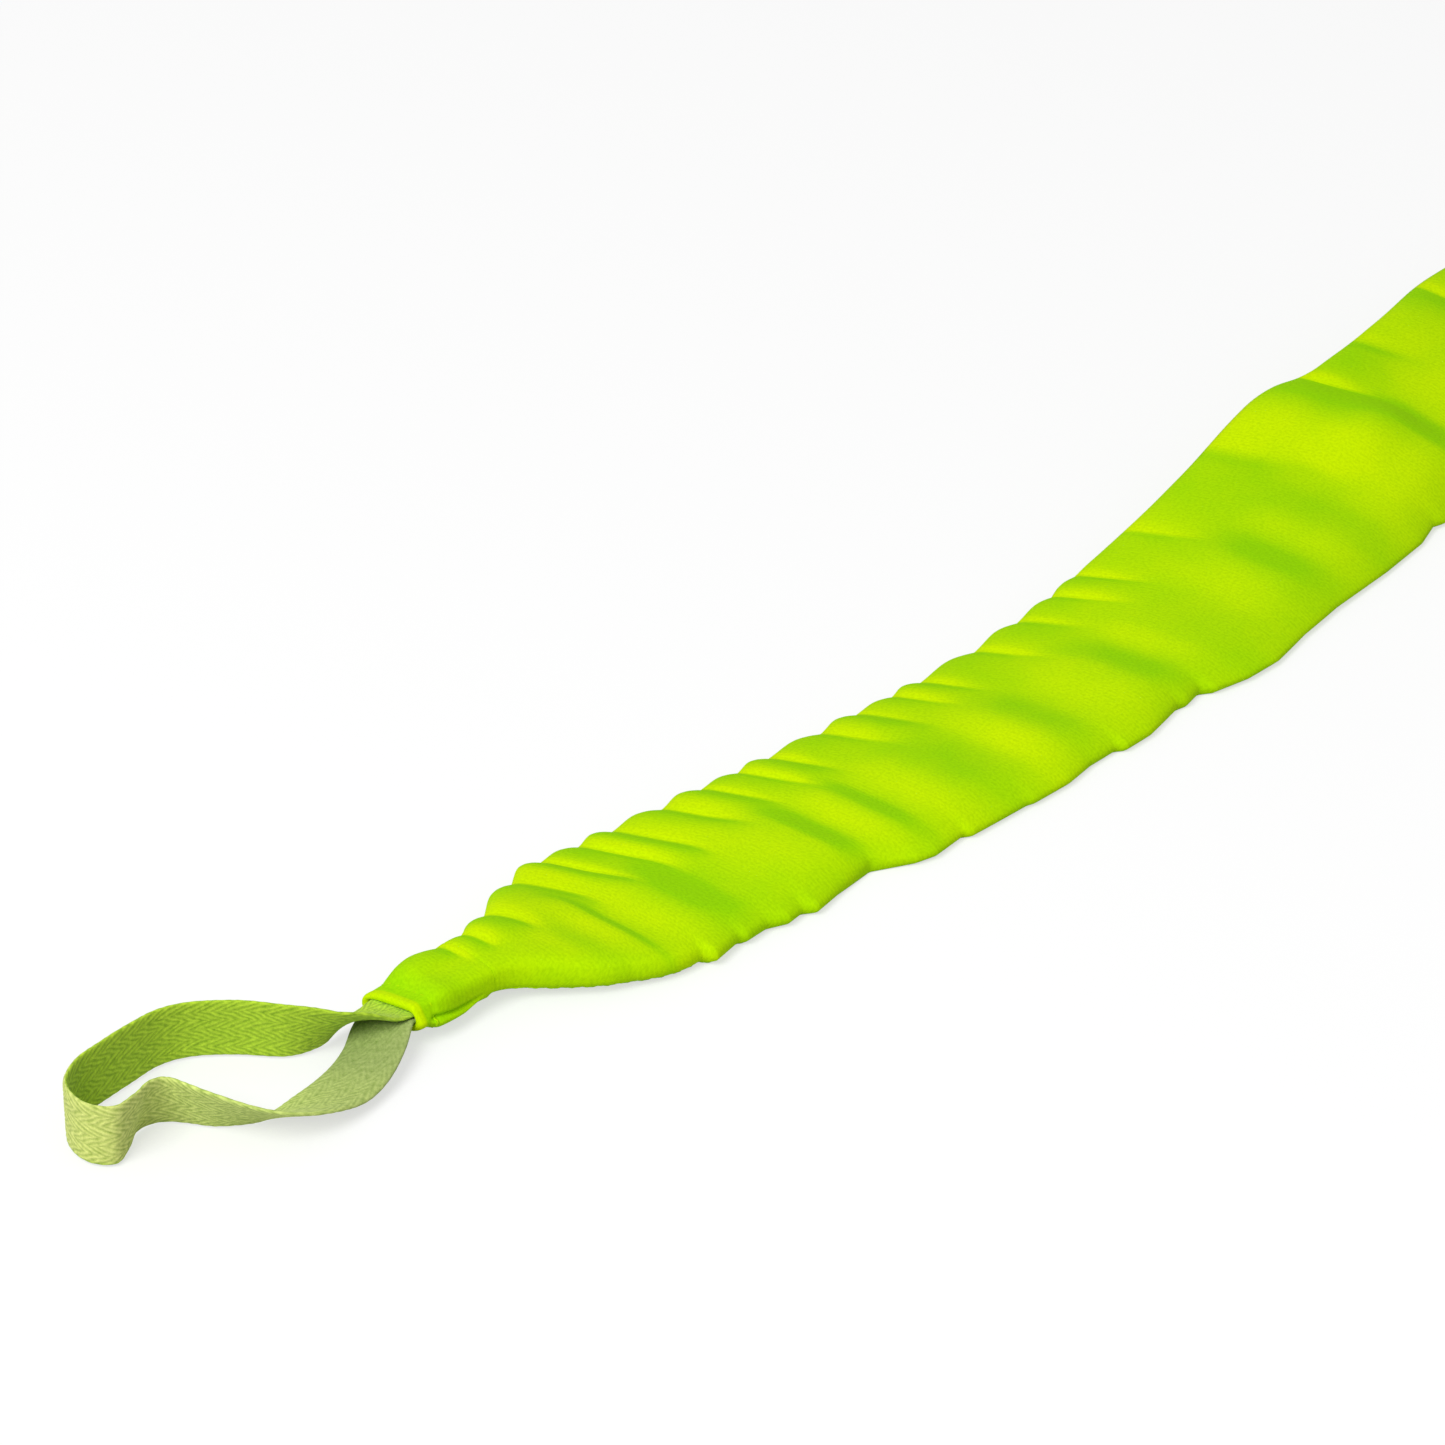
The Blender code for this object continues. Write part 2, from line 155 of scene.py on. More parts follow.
def grid_piece(name, points, ends, shade=None):
    """Piece from a grid of points. Every four neighbours make a quad and the last column joins the first.
    Joined ends close the last row onto the first, and capped ends get a fan to the middle of their ring.
    Shade is a value for each point, kept as an attribute that sets the painted light and shade of the colour."""
    rows, columns = points.shape[:2]
    index = np.arange(rows * columns).reshape(rows, columns)
    lower = index if ends == "joined" else index[:-1]
    upper = np.roll(index, -1, axis=0) if ends == "joined" else index[1:]
    quads = np.stack([lower, np.roll(lower, -1, 1), np.roll(upper, -1, 1), upper], axis=-1)
    uv = cloth_uv(points, ends)
    corners = [np.stack([uv[:-1, :-1], uv[:-1, 1:], uv[1:, 1:], uv[1:, :-1]], axis=2).reshape(-1, 2)]
    vertices = [points.reshape(-1, 3)]
    faces = quads.reshape(-1, 4).tolist()
    painted_light = np.zeros(rows * columns) if shade is None else shade.ravel()
    if ends == "capped":
        for row, ring in ((0, index[0][::-1]), (-1, index[-1])):
            middle = np.full(columns, rows * columns + len(vertices) - 1)
            faces += np.stack([ring, np.roll(ring, -1), middle], axis=1).tolist()
            vertices.append(points[row].mean(axis=0, keepdims=True))
            corners.append(np.repeat(uv[row, :-1], 3, axis=0))
            painted_light = np.append(painted_light, 0.0)
    mesh = bpy.data.meshes.new(name)
    mesh.from_pydata(np.concatenate(vertices).tolist(), [], faces)
    mesh.uv_layers.new(name="cloth").data.foreach_set("uv", np.concatenate(corners).ravel())
    mesh.attributes.new("painted_light", "FLOAT", "POINT").data.foreach_set("value", painted_light.astype(np.float32))
    mesh.polygons.foreach_set("use_smooth", np.ones(len(mesh.polygons), bool))
    piece = bpy.data.objects.new(name, mesh)
    bpy.context.scene.collection.objects.link(piece)
    return piece


def linear(code):
    """Linear colour of an sRGB hex code."""
    srgb = np.array([int(code[place:place + 2], 16) for place in (1, 3, 5)]) / 255
    straight = np.where(srgb <= 0.04045, srgb / 12.92, ((srgb + 0.055) / 1.055) ** 2.4)
    return (*straight.tolist(), 1.0)


def add_node(material, kind, values=None, links=None, **settings):
    """Add a shader node, whose kind goes without its prefix, with its settings, socket values and links."""
    made = material.node_tree.nodes.new("ShaderNode" + kind)
    for name, value in settings.items():
        setattr(made, name, value)
    for socket, value in (values or {}).items():
        made.inputs[socket].default_value = value
    for socket, source in (links or {}).items():
        material.node_tree.links.new(source, made.inputs[socket])
    return made


def new_material(name, values, links):
    """Material of one Principled shader with these values; links gives the sources of its other sockets."""
    material = bpy.data.materials.new(name)
    material.use_nodes = True
    shader = material.node_tree.nodes["Principled BSDF"]
    for socket, value in values.items():
        shader.inputs[socket].default_value = value
    for socket, source in links(material).items():
        material.node_tree.links.new(source, shader.inputs[socket])
    return material


def rubber_links(material):
    """Warm tan that clouds a little, with the fine lines that a calender leaves along the sheet."""
    place = add_node(material, "TexCoord").outputs["UV"]
    cloud = add_node(material, "TexNoise", {"Scale": 1 / (18 * MM), "Detail": 3.0}, {"Vector": place})
    tint = add_node(
        material, "Mix", {MIX_A: linear("#d8c193"), MIX_B: linear("#e9dab6")},
        {MIX_FACTOR: cloud.outputs["Fac"]}, data_type="RGBA")
    lines = add_node(
        material, "TexWave", {"Scale": WAVE_PERIOD / (1.2 * MM), "Distortion": 0.4}, {"Vector": place})
    bump = add_node(
        material, "Bump", {"Strength": 0.3, "Distance": 0.1 * MM}, {"Height": lines.outputs["Fac"]})
    return {"Base Color": tint.outputs[MIX_RESULT], "Normal": bump.outputs["Normal"]}


# Natural rubber sheet: dull and warm, with a soft highlight.
natural_rubber = new_material("natural_rubber_sheet", {"Roughness": 0.55, "IOR": 1.52}, rubber_links)

strip_along = np.linspace(STRIP_START, BAND_LENGTH - STRIP_START, STRIP_ROWS)[:, None]
strip_across, strip_side = ring_across(STRIP_COLUMNS, STRIP_EVENNESS)
strip_points = lay(
    strip_along,
    strip_across * strip_half_width(strip_along),
    strip_side * bulge(strip_across, *STRIP_POWERS) * STRIP_THICKNESS / 2,
)
elastic_strip = grid_piece("elastic_strip", strip_points, "capped")
elastic_strip.data.materials.append(natural_rubber)
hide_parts("elastic_core")
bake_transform(elastic_strip)

# Sleeve: a tube of soft lime knit, cut longer than the elastic and drawn up on it. Along the +Y edge it
# lies in short sharp folds that start at a notch and die out towards the middle. The other half has long
# soft waves and a slightly toothed edge. The far end is the near one turned half round.
SLEEVE_ROWS = 900
LINING_ROWS = 300
SLEEVE_COLUMNS = 72
SLEEVE_EVENNESS = 0.35
KNIT_WALL = 0.6 * MM
NECK_START = 12.9 * MM
NECK_HALF_WIDTH = 7.9 * MM
NECK_HALF_HEIGHT = 2.1 * MM
NECK_POWERS = (5.0, 4.0)
SHOULDER_START = 20.4 * MM
SHOULDER_END = 21.2 * MM
SHOULDER_WALL = 2.4 * MM
SIDE_WALL = 5.9 * MM
TOP_WALL = 1.5 * MM
BOTTOM_WALL = 2.4 * MM
FLAT_POWER = 7.0
CUFF_FLAT_LOSS = 4.0
CUFF_NEAR_TOP_LOSS = 1.5
ROUND_POWER = 1.6
BOXY_GAIN_BELOW = 0.4
BOXY_GAIN_FAR = 0.6
BOXY_GAIN_NEAR = 2.4
EDGE_POWER = 4
GATHER_CROWN = 2.6 * MM
CROWN_START = 1 * MM
CROWN_FULL = 9 * MM
CROWN_FADE = CUFF_LENGTH + 0.2 * FLARE_LENGTH
CROWN_END = CUFF_LENGTH + 1.3 * FLARE_LENGTH
NEAR_TUCK = 1.2 * MM
NEAR_RISE = 1.6 * MM
NEAR_RISE_ACROSS = (0.1, 0.9)
TUCK_FULL = 17 * MM
TUCK_FADE = 20 * MM
TUCK_END = 36 * MM
NEAR_DROP = 1.5 * MM
NEAR_DROP_ACROSS = (0.6, 1.0)
SIDE_STRIP_END = 110 * MM
FOLDS_START = 3 * MM
FOLDS_FADE = 2 * MM
FOLDS_FULL = 7 * MM
FAR_START = 500 * MM
CALM_REACH = 45 * MM
FOLD_DRIFT = 9 * MM
NEAR_DRIFT = 2.5 * MM
DRIFT_START = 20 * MM
DRIFT_END = 52 * MM
FADE_BELOW_REACH = 0.35
FADE_ABOVE_REACH = 0.25
SWELL_LINE = -0.4
SWELL_FADE_ACROSS = (-0.1, 0.55)
SWELL_EDGE_ACROSS = (0.4, 1.0)
SWELL_EDGE_LOSS = 0.8
CREASE_SOFTNESS = 0.1
CREASE_DEPTH = 0.45 * MM
CREASE_SHARE = 0.1
SCALLOP = 3.6 * MM
SCALLOP_LEAN = 1.5
SCALLOP_FADE = 235 * MM
SCALLOP_END = 260 * MM
USUAL_FOLD = 13 * MM
FULL_FOLD = 1.2 * MM
MOST_FULLNESS = 0.85
# Gain from a fold's slope to the painted light of the knit: yellower where lit, greener in shade.
SLOPE_PAINT_GAIN = 3.0
EDGE_EASING = np.array((-5, -3, -1, 1, 3, 5)) * MM
FOLDS = np.array((
    # Distance to the next crease and height, both in mm, share of that distance at which the fold crests, and
    # place across where it has half died out, from 1 at the +Y edge to -1.
    (16.4, 0.8, 0.50, 0.1),
    (7.1, 0.4, 0.50, -0.2),
    (9.5, 0.9, 0.40, 0.0),
    (16, 0.9, 0.40, 0.1),
    (12, 1.0, 0.60, 0.3),
    (11, 0.6, 0.35, 0.3),
    (10, 0.9, 0.50, 0.2),
    (15, 0.7, 0.55, 0.3),
    (13, 0.9, 0.55, 0.4),
    (11, 0.5, 0.40, 0.5),
    (10, 0.8, 0.40, 0.4),
    (17, 0.6, 0.30, 0.6),
    (13, 0.8, 0.50, 0.4),
    (12, 0.4, 0.50, 0.6),
    (10, 0.7, 0.45, 0.6),
    (21, 0.6, 0.30, 0.6),
    (18, 0.6, 0.35, 0.5),
    (14, 0.4, 0.40, 0.6),
    (11, 0.6, 0.40, 0.5),
    (23, 0.5, 0.25, 0.6),
    (39, 0.7, 0.30, 0.5),
    (40, 2.6, 0.60, -0.1),
    (23, 0.9, 0.25, 0.6),
    (34, 1.1, 0.60, 0.4),
    (22, 0.8, 0.40, 0.5),
    (24, 0.7, 0.40, 0.5),
    (45, 0.5, 0.50, 0.5),
))
SWELLS = MM * np.array((
    # Trough and crest from the near mouth, and height, all in mm.
    (36, 41, 0.4),
    (47, 55, 0.7),
    (58, 73, 1.4),
    (86, 113, 1.5),
    (122, 132, 0.9),
    (139, 154, 1.1),
    (172, 185, 1.1),
    (198, 218, 1.3),
    (231, 241, 0.6),
    (260, 278, 1.1),
    (291, 303, 0.6),
    (317, 352, 2.4),
    (366, 392, 1.2),
    (408, 424, 1.0),
    (440, 459, 1.2),
    (476, 488, 0.9),
    (503, 512, 0.0),
))
FAR_EDGE = MM * np.array((
    # Place from the near mouth, and how far the +Y edge stands out there, both in mm. Past the scallops it is
    # smooth, with one notch behind the largest fold.
    (235, 0.0), (260, 0.4), (285, 0.6), (305, 1.3), (325, 3.0), (338, 3.6),
    (347, 2.0), (353, -1.0), (375, -1.4), (392, -0.3), (410, 2.2), (440, 4.0),
    (470, 2.0), (500, 0.0),
))
NEAR_EDGE = MM * np.array((
    # Place from the near mouth, and how far the -Y edge stands out there, both in mm. It steps out quickly
    # at a tooth and draws in slowly behind it.
    (22, 0.0), (31, 7.0), (40, 6.5), (44, 4.6), (49, 1.4), (58, 0.0),
    (67, -1.4), (69, 1.5), (78, -1.6), (80, -0.5), (87, -1.9), (92, 0.0),
    (97, -1.4), (100, 0.7), (109, -2.2), (121, -5.2), (131, 0.3), (136, 1.2),
    (146, -0.8), (148, 0.7), (166, 0.1), (168, 0.7), (180, 0.4), (189, -1.5),
    (198, -1.8), (200, 0.1), (209, 0.0), (222, -3.0), (225, -2.1), (231, -3.4),
    (234, -0.5), (244, 2.3), (254, 3.2), (268, 1.5), (284, 0.9), (306, 1.9),
    (324, 1.9), (333, 0.2), (337, 1.6), (366, 0.2), (370, 1.8), (402, -0.4),
    (405, 1.0), (438, -1.4), (443, 0.9), (480, -1.4), (484, 0.3), (500, 0.0),
))


def fold_drift(across):
    """How far a crease has run on along the band: a smooth step from the +Y edge to the middle, then a
    straight slope to the -Y edge."""
    return FOLD_DRIFT * (1.0 - ease(across, 0.0, 1.0)) - NEAR_DRIFT * np.minimum(across, 0.0)


def fold_heights(station, across):
    """Height of the short folds: the sine of half a turn of the share between creases, to the power that
    puts its crest where the list says, less a bell curve at each crease, which dies out with the shorter of
    its two folds. Also the scallop of the edge, the same sine with a late crest, wider for larger folds.
    The scallops fade out past the middle."""
    pitches, heights, crests, reaches = FOLDS.T * np.array((MM, MM, 1.0, 1.0))[:, None]
    creases = FOLDS_START + np.concatenate([[0.0], np.cumsum(pitches)])
    phase = np.interp(station, creases, np.arange(len(creases)))
    fold = np.clip(phase.astype(int), 0, len(heights) - 1)
    share = np.clip(phase - fold, 0.0, 1.0)
    crest = np.sin(np.pi * share ** (np.log(0.5) / np.log(crests[fold])))
    crest = np.sqrt(crest ** 2 + CREASE_SOFTNESS ** 2) - CREASE_SOFTNESS
    weight = ease(across, reaches[fold] - FADE_BELOW_REACH, reaches[fold] + FADE_ABOVE_REACH)
    fullness = np.minimum(heights / FULL_FOLD, MOST_FULLNESS)
    beside = np.clip(np.where(share < 0.5, fold - 1, fold + 1), 0, len(heights) - 1)
    crease_reach = np.maximum(reaches[fold], reaches[beside])
    groove = CREASE_DEPTH * np.minimum(fullness[fold], fullness[beside])
    groove = groove * np.exp(-(np.minimum(share, 1.0 - share) / CREASE_SHARE) ** 2)
    groove = groove * ease(across, crease_reach - FADE_BELOW_REACH, crease_reach + FADE_ABOVE_REACH)
    size = np.sqrt(pitches[fold] / USUAL_FOLD) * fullness[fold]
    scallop = SCALLOP * size * (np.sin(np.pi * share ** SCALLOP_LEAN) - 0.5)
    scallop = scallop * (1.0 - ease(station, SCALLOP_FADE, SCALLOP_END))
    return heights[fold] * crest * weight - groove, scallop


def hump(value, start, full, fade, end):
    """Smooth step up from start to full, times a smooth step down from fade to end."""
    return ease(value, start, full) * (1.0 - ease(value, fade, end))


def swell_heights(place):
    """Height of the long waves: for each, a smooth step up to its crest times one down to the next trough."""
    trough, crest, height = SWELLS[:-1].T
    following = SWELLS[1:, 0]
    return (height * hump(place[..., None], trough, crest, crest, following)).sum(axis=-1)


def band_outside(along, across, side, top, edge, inset):
    """Sideways and upward place of the band's outside in its own frame. It is a flattened round whose half
    sizes are the elastic's plus the gathered cloth, drawn in by an inset. Top is added above and edge at
    the sides. At the cuffs it is domed, squarer and tucked up towards -Y, and past them it goes flat by
    smooth steps."""
    from_end = end_distance(along)
    share = spread(along)
    boxy = 1.0 - ease(from_end, CUFF_LENGTH, SIDE_STRIP_END)
    tucked = hump(from_end, CROWN_START, TUCK_FULL, TUCK_FADE, TUCK_END)
    crown = GATHER_CROWN * hump(from_end, CROWN_START, CROWN_FULL, CROWN_FADE, CROWN_END)
    side_wall = SHOULDER_WALL + (SIDE_WALL - SHOULDER_WALL) * share
    top_wall = SHOULDER_WALL + (TOP_WALL - SHOULDER_WALL) * share
    half_width = strip_half_width(along) + CLEARANCE + side_wall + edge * np.abs(across) ** EDGE_POWER - inset
    half_width = half_width - NEAR_TUCK * tucked * (across < 0)
    half_height = STRIP_THICKNESS / 2 + CLEARANCE - inset
    half_height = half_height + np.where(side > 0, top_wall + crown + top, BOTTOM_WALL)
    boxy_gain = np.where(side < 0, BOXY_GAIN_BELOW, np.where(across > 0, BOXY_GAIN_FAR, BOXY_GAIN_NEAR))
    flat_loss = np.where((side > 0) & (across < 0), CUFF_NEAR_TOP_LOSS, CUFF_FLAT_LOSS)
    up_power = ROUND_POWER + boxy_gain * boxy
    across_power = FLAT_POWER - flat_loss * (1.0 - share)
    up = side * bulge(across, across_power, up_power)
    height = up * half_height
    height = height + NEAR_RISE * tucked * ease(-across, *NEAR_RISE_ACROSS) * (1.0 - np.maximum(up, 0.0))
    return across * half_width, height


def gathers(station, across):
    """Folds and edge scallops in an end's own frame. They fade in on the cuff by a smooth step."""
    gathered = ease(station, FOLDS_FADE, FOLDS_FULL)
    folds, scallop = fold_heights(station, across)
    return folds * gathered, scallop * gathered * (across > 0)


def sleeve_wall(rows, inset):
    """Grid of the sleeve's outside, drawn in by an inset. Its rows follow the creases, with the folds and
    waves on top. Past a calm stretch the far end repeats the near one turned half round. At each end the
    sleeve steps in to a narrow neck under the cuff, and the floor flattens it below. Also how far each
    point's flank faces the near end, from 0 to 1, which paints light and shade into the knit's colour."""
    station = np.linspace(NECK_START, BAND_LENGTH - NECK_START, rows)[:, None]
    across, side = ring_across(SLEEVE_COLUMNS, SLEEVE_EVENNESS)
    facing = np.where(station < FAR_START, 1.0, -1.0)
    calm = ease(np.abs(station - FAR_START), 0.0, CALM_REACH)
    own_station = np.where(station < FAR_START, station, BAND_LENGTH - station)
    own_across = across * facing
    from_end = end_distance(station)
    settled = ease(from_end, DRIFT_START, DRIFT_END) * calm
    own_along = own_station + fold_drift(own_across) * settled
    along = np.where(station < FAR_START, own_along, BAND_LENGTH - own_along)
    share = spread(along)
    out = ease(from_end, SHOULDER_START, SHOULDER_END)

    folds, scallop = gathers(own_station, own_across)
    swells = swell_heights(own_station + fold_drift(SWELL_LINE) * settled)
    swells = swells * (1.0 - ease(own_across, *SWELL_FADE_ACROSS))
    swells = swells * (1.0 - SWELL_EDGE_LOSS * ease(-own_across, *SWELL_EDGE_ACROSS))
    top = (folds + swells * share) * calm
    near_edge = np.interp(own_along, *NEAR_EDGE.T)
    far_edge = np.interp(own_along[..., None] + EDGE_EASING, *FAR_EDGE.T).mean(axis=-1)
    edge = np.where(own_across > 0, scallop + far_edge, near_edge * share) * calm

    sideways, height = band_outside(along, own_across, side, top, edge, inset)
    sideways = sideways * facing
    flattened = ease(from_end, CUFF_LENGTH, SIDE_STRIP_END)
    height = height - NEAR_DROP * ease(-across, *NEAR_DROP_ACROSS) * flattened
    neck_sideways = across * (NECK_HALF_WIDTH - inset)
    neck_height = side * bulge(across, *NECK_POWERS) * (NECK_HALF_HEIGHT - inset)
    points = lay(
        along,
        neck_sideways + (sideways - neck_sideways) * out,
        neck_height + (height - neck_height) * out,
    )
    points[..., 2] = np.maximum(points[..., 2], inset)
    # Painted light: the knit is painted yellower where a flank faces the near end and greener where it faces
    # away.
    slope = np.gradient(top, axis=0) / np.gradient(along, axis=0)
    return points, np.clip(0.5 + SLOPE_PAINT_GAIN * slope, 0.0, 1.0)


def knit_links(material):
    """Lime with painted light: flanks that face the near end are painted yellower, as if lit, and those
    that face away are painted greener, as shade. Small gaps in the nap are darker. The stitches are about
    0.6 mm apart on the real knit; their rows are drawn at 1.1 mm and the gaps at 0.8 mm so that they show."""
    coordinates = add_node(material, "TexCoord").outputs
    place = coordinates["UV"]
    painted_light = add_node(material, "Attribute", attribute_name="painted_light").outputs["Fac"]
    cloud = add_node(
        material, "TexNoise", {"Scale": 1 / (30 * MM), "Detail": 6.0, "Roughness": 0.6},
        {"Vector": coordinates["Object"]})
    clouded = add_node(material, "Math", None, {0: painted_light, 1: cloud.outputs["Fac"]}, operation="ADD")
    lean = add_node(
        material, "MapRange", {"From Min": 0.6, "From Max": 1.5}, {"Value": clouded.outputs["Value"]})
    # This mix paints light and shade: greener where flanks face away from the near end, yellower where they
    # face it.
    tint = add_node(
        material, "Mix", {MIX_A: linear("#9bdf06"), MIX_B: linear("#cef202")},
        {MIX_FACTOR: lean.outputs["Result"]}, data_type="RGBA")
    rows = add_node(
        material, "TexWave", {"Scale": WAVE_PERIOD / (1.1 * MM), "Distortion": 1.2, "Detail": 2.0},
        {"Vector": place}, bands_direction="Y")
    nap = add_node(material, "TexNoise", {"Scale": 1 / (0.8 * MM), "Detail": 2.0}, {"Vector": place})
    gaps = add_node(
        material, "MapRange", {"From Min": 0.6, "From Max": 0.35, "To Max": 0.2},
        {"Value": nap.outputs["Fac"]})
    flecked = add_node(
        material, "Mix", {MIX_B: linear("#a0b860")},
        {MIX_FACTOR: gaps.outputs["Result"], MIX_A: tint.outputs[MIX_RESULT]},
        data_type="RGBA", blend_type="MULTIPLY")
    rows_bump = add_node(
        material, "Bump", {"Strength": 0.15, "Distance": 0.15 * MM}, {"Height": rows.outputs["Fac"]})
    nap_bump = add_node(
        material, "Bump", {"Strength": 0.3, "Distance": 0.15 * MM},
        {"Height": nap.outputs["Fac"], "Normal": rows_bump.outputs["Normal"]})
    return {"Base Color": flecked.outputs[MIX_RESULT], "Normal": nap_bump.outputs["Normal"]}


# Brushed polyester knit: matt, with a soft glow of nap at grazing angles and no clear highlight.
brushed_knit = new_material(
    "brushed_polyester_knit",
    {
        "Roughness": 0.95,
        "Specular IOR Level": 0.15,
        "Specular Tint": linear("#c8ee04"),
        "Sheen Weight": 0.1,
        "Sheen Tint": linear("#d4f404"),
    },
    knit_links,
)

outside, outside_shade = sleeve_wall(SLEEVE_ROWS, 0.0)
inside, inside_shade = sleeve_wall(LINING_ROWS, KNIT_WALL)
sleeve_knit = grid_piece(
    "sleeve_knit",
    np.concatenate([outside, inside[::-1]]),
    "joined",
    np.concatenate([outside_shade, inside_shade[::-1]]),
)
sleeve_knit.data.materials.append(brushed_knit)
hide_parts("sleeve")
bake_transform(sleeve_knit)

# Closing seam of the sleeve: a running stitch of spun polyester thread just under the -Y edge. The thread
# is dyed to match the knit. Between stitches it sinks into the cloth, and where the sleeve lies on the
# floor it is pressed in.
THREAD_RADIUS = 0.25 * MM
THREAD_SIDES = 8
PLY_TWIST = 1.6 * MM
PLY_DEPTH = 0.18
SEAM_PITCH = 4 * MM
SEAM_DIP = 0.1 * MM
SEAM_COLUMN = 3
SEAM_ROWS = 2400
UPWARD = np.array((0.0, 0.0, 1.0))


def unit(vectors):
    """Vectors of length 1 that point the same way."""
    return vectors / np.linalg.norm(vectors, axis=-1, keepdims=True)


def thread_piece(name, path, reference, ends):
    """Two-ply thread along a path of points: a round of eight sides in each cross plane, whose radius goes
    up and down twice a turn by a wave that winds along the path."""
    before = np.roll(path, 1, axis=0)
    after = np.roll(path, -1, axis=0)
    if ends == "capped":
        before[0] = path[0]
        after[-1] = path[-1]
    heading = unit(after - before)
    first = unit(np.cross(reference, heading))
    second = np.cross(heading, first)
    distance = np.cumsum(np.linalg.norm(path - before, axis=1))[:, None]
    turn = 2 * np.pi * np.arange(THREAD_SIDES) / THREAD_SIDES
    ply = np.cos(2 * turn + 2 * np.pi * distance / PLY_TWIST)
    radius = THREAD_RADIUS * (1.0 + PLY_DEPTH * ply)
    ring = first[:, None] * (radius * np.cos(turn))[..., None]
    ring = ring + second[:, None] * (radius * np.sin(turn))[..., None]
    return grid_piece(name, path[:, None] + ring, ends, (ply + 1.0) / 2)


def path_distance(path):
    """Distance along a path of points to each of them."""
    return np.concatenate([[0.0], np.cumsum(np.linalg.norm(np.diff(path, axis=0), axis=1))])


def evenly(path, rows):
    """The path again at even distances, each column read off by straight lines between its points. Columns
    past the third are no place, so they don't count in the distance."""
    distance = path_distance(path[:, :3])
    wanted = np.linspace(0.0, distance[-1], rows)
    return np.stack([np.interp(wanted, distance, column) for column in path.T], axis=1)


def thread_links(material):
    """Lime with painted shade: darker in the groove between the two plies, with the fuzz of spun fibre."""
    painted_light = add_node(material, "Attribute", attribute_name="painted_light").outputs["Fac"]
    # Painted shade: darker, greener lime in the ply groove and lighter on the ply crowns.
    tint = add_node(
        material, "Mix", {MIX_A: linear("#9ad206"), MIX_B: linear("#bce604")},
        {MIX_FACTOR: painted_light}, data_type="RGBA")
    place = add_node(material, "TexCoord").outputs["Object"]
    fuzz = add_node(material, "TexNoise", {"Scale": 1 / (0.3 * MM), "Detail": 2.0}, {"Vector": place})
    bump = add_node(
        material, "Bump", {"Strength": 0.3, "Distance": 0.08 * MM}, {"Height": fuzz.outputs["Fac"]})
    return {"Base Color": tint.outputs[MIX_RESULT], "Normal": bump.outputs["Normal"]}


# Spun polyester thread: a slight lustre along the plies.
spun_polyester = new_material(
    "spun_polyester_thread",
    {"Roughness": 0.8, "Specular IOR Level": 0.2, "Specular Tint": linear("#c8ee04")},
    thread_links,
)

seam_edge = outside[:, SLEEVE_COLUMNS // 2 + SEAM_COLUMN]
seam_run = (seam_edge[:, 0] > STRETCH_START[0] + MM) & (seam_edge[:, 0] < STRETCH_END[0] - MM)
seam_path = evenly(seam_edge[seam_run], SEAM_ROWS)
seam_distance = np.linspace(0.0, seam_path[-1, 0] - seam_path[0, 0], SEAM_ROWS)
seam_path[:, 2] += SEAM_DIP * (1.0 + np.sin(2 * np.pi * seam_distance / SEAM_PITCH))
seam_path[:, 2] = np.maximum(seam_path[:, 2], THREAD_RADIUS * (1.0 + PLY_DEPTH))
seam_stitches = thread_piece("sleeve_seam_stitches", seam_path, UPWARD, "capped")
seam_stitches.data.materials.append(spun_polyester)
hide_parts("sleeve_seam_thread")
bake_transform(seam_stitches)

# Cuffs: at each end the knit is turned in on itself and sewn over the tape ends, the elastic and the neck
# of the sleeve. The turned edge is a thick soft lip drawn in on the tape, the top swells up to the sleeve
# behind it, and on one side the lower layer stands out as a flap under a crease.
CAVITY_WIDTH = 16.6 * MM
CAVITY_HEIGHT = 4.6 * MM
MOUTH_WIDTH = 15.8 * MM
MOUTH_HEIGHT = 2.9 * MM
MOUTH_RISE = 0.3 * MM
MOUTH_TILT = math.tan(math.radians(12.0))
MOUTH_SLANT = 2.2 * MM
SLANT_END = 10 * MM
SLANT_UP = (-0.3, 0.4)
SLANT_ACROSS = (0.4, 1.0)
PINCH_END = 5 * MM
TILT_END = 14 * MM
CUFF_OVER = 0.06 * MM
LIP_LENGTH = 2.4 * MM
LIP_HEIGHT = 0.25 * MM
LIP_ROLL = 0.7 * MM
LIP_BULGE = 1.6
REAR_BULGE = 0.5
HEM_PLACE = 4.2 * MM
HEM_DEPTH = 0.25 * MM
HEM_SPREAD = 0.9 * MM
FLAP_START = 2.5 * MM
FLAP_FULL = 5 * MM
FLAP_FADE = 12 * MM
FLAP_END = 21 * MM
FLAP_WIDTH = 1.4 * MM
FLAP_LEDGE = 0.12
FLAP_TURN_UNDER = 1.6
FLAP_POWERS = (4.0, 2.0)
FLAP_DROOP = 0.7 * MM
DROOP_FULL = 0.3
DROOP_ACROSS = (0.4, 0.9)
TUCK_FRONT = -0.06
TUCK_REAR = 0.16
TUCK_SPREAD = 0.08
TUCK_DEPTH = 1.0 * MM
CUFF_ROWS = 64
CUFF_ROLL_ROWS = 24
CUFF_COLUMNS = 192
RING_FINENESS = 20
RING_POWERS = (4.0, 4.0)
SHADE_STEP = 0.2 * MM
SHADE_FRONT = 0.2
# Name, body and loop body of each end, and 1 or, where it is turned half round, -1.
ENDS = (("near", "band", "near_loop", 1), ("far", "far_end", "far_loop", -1))


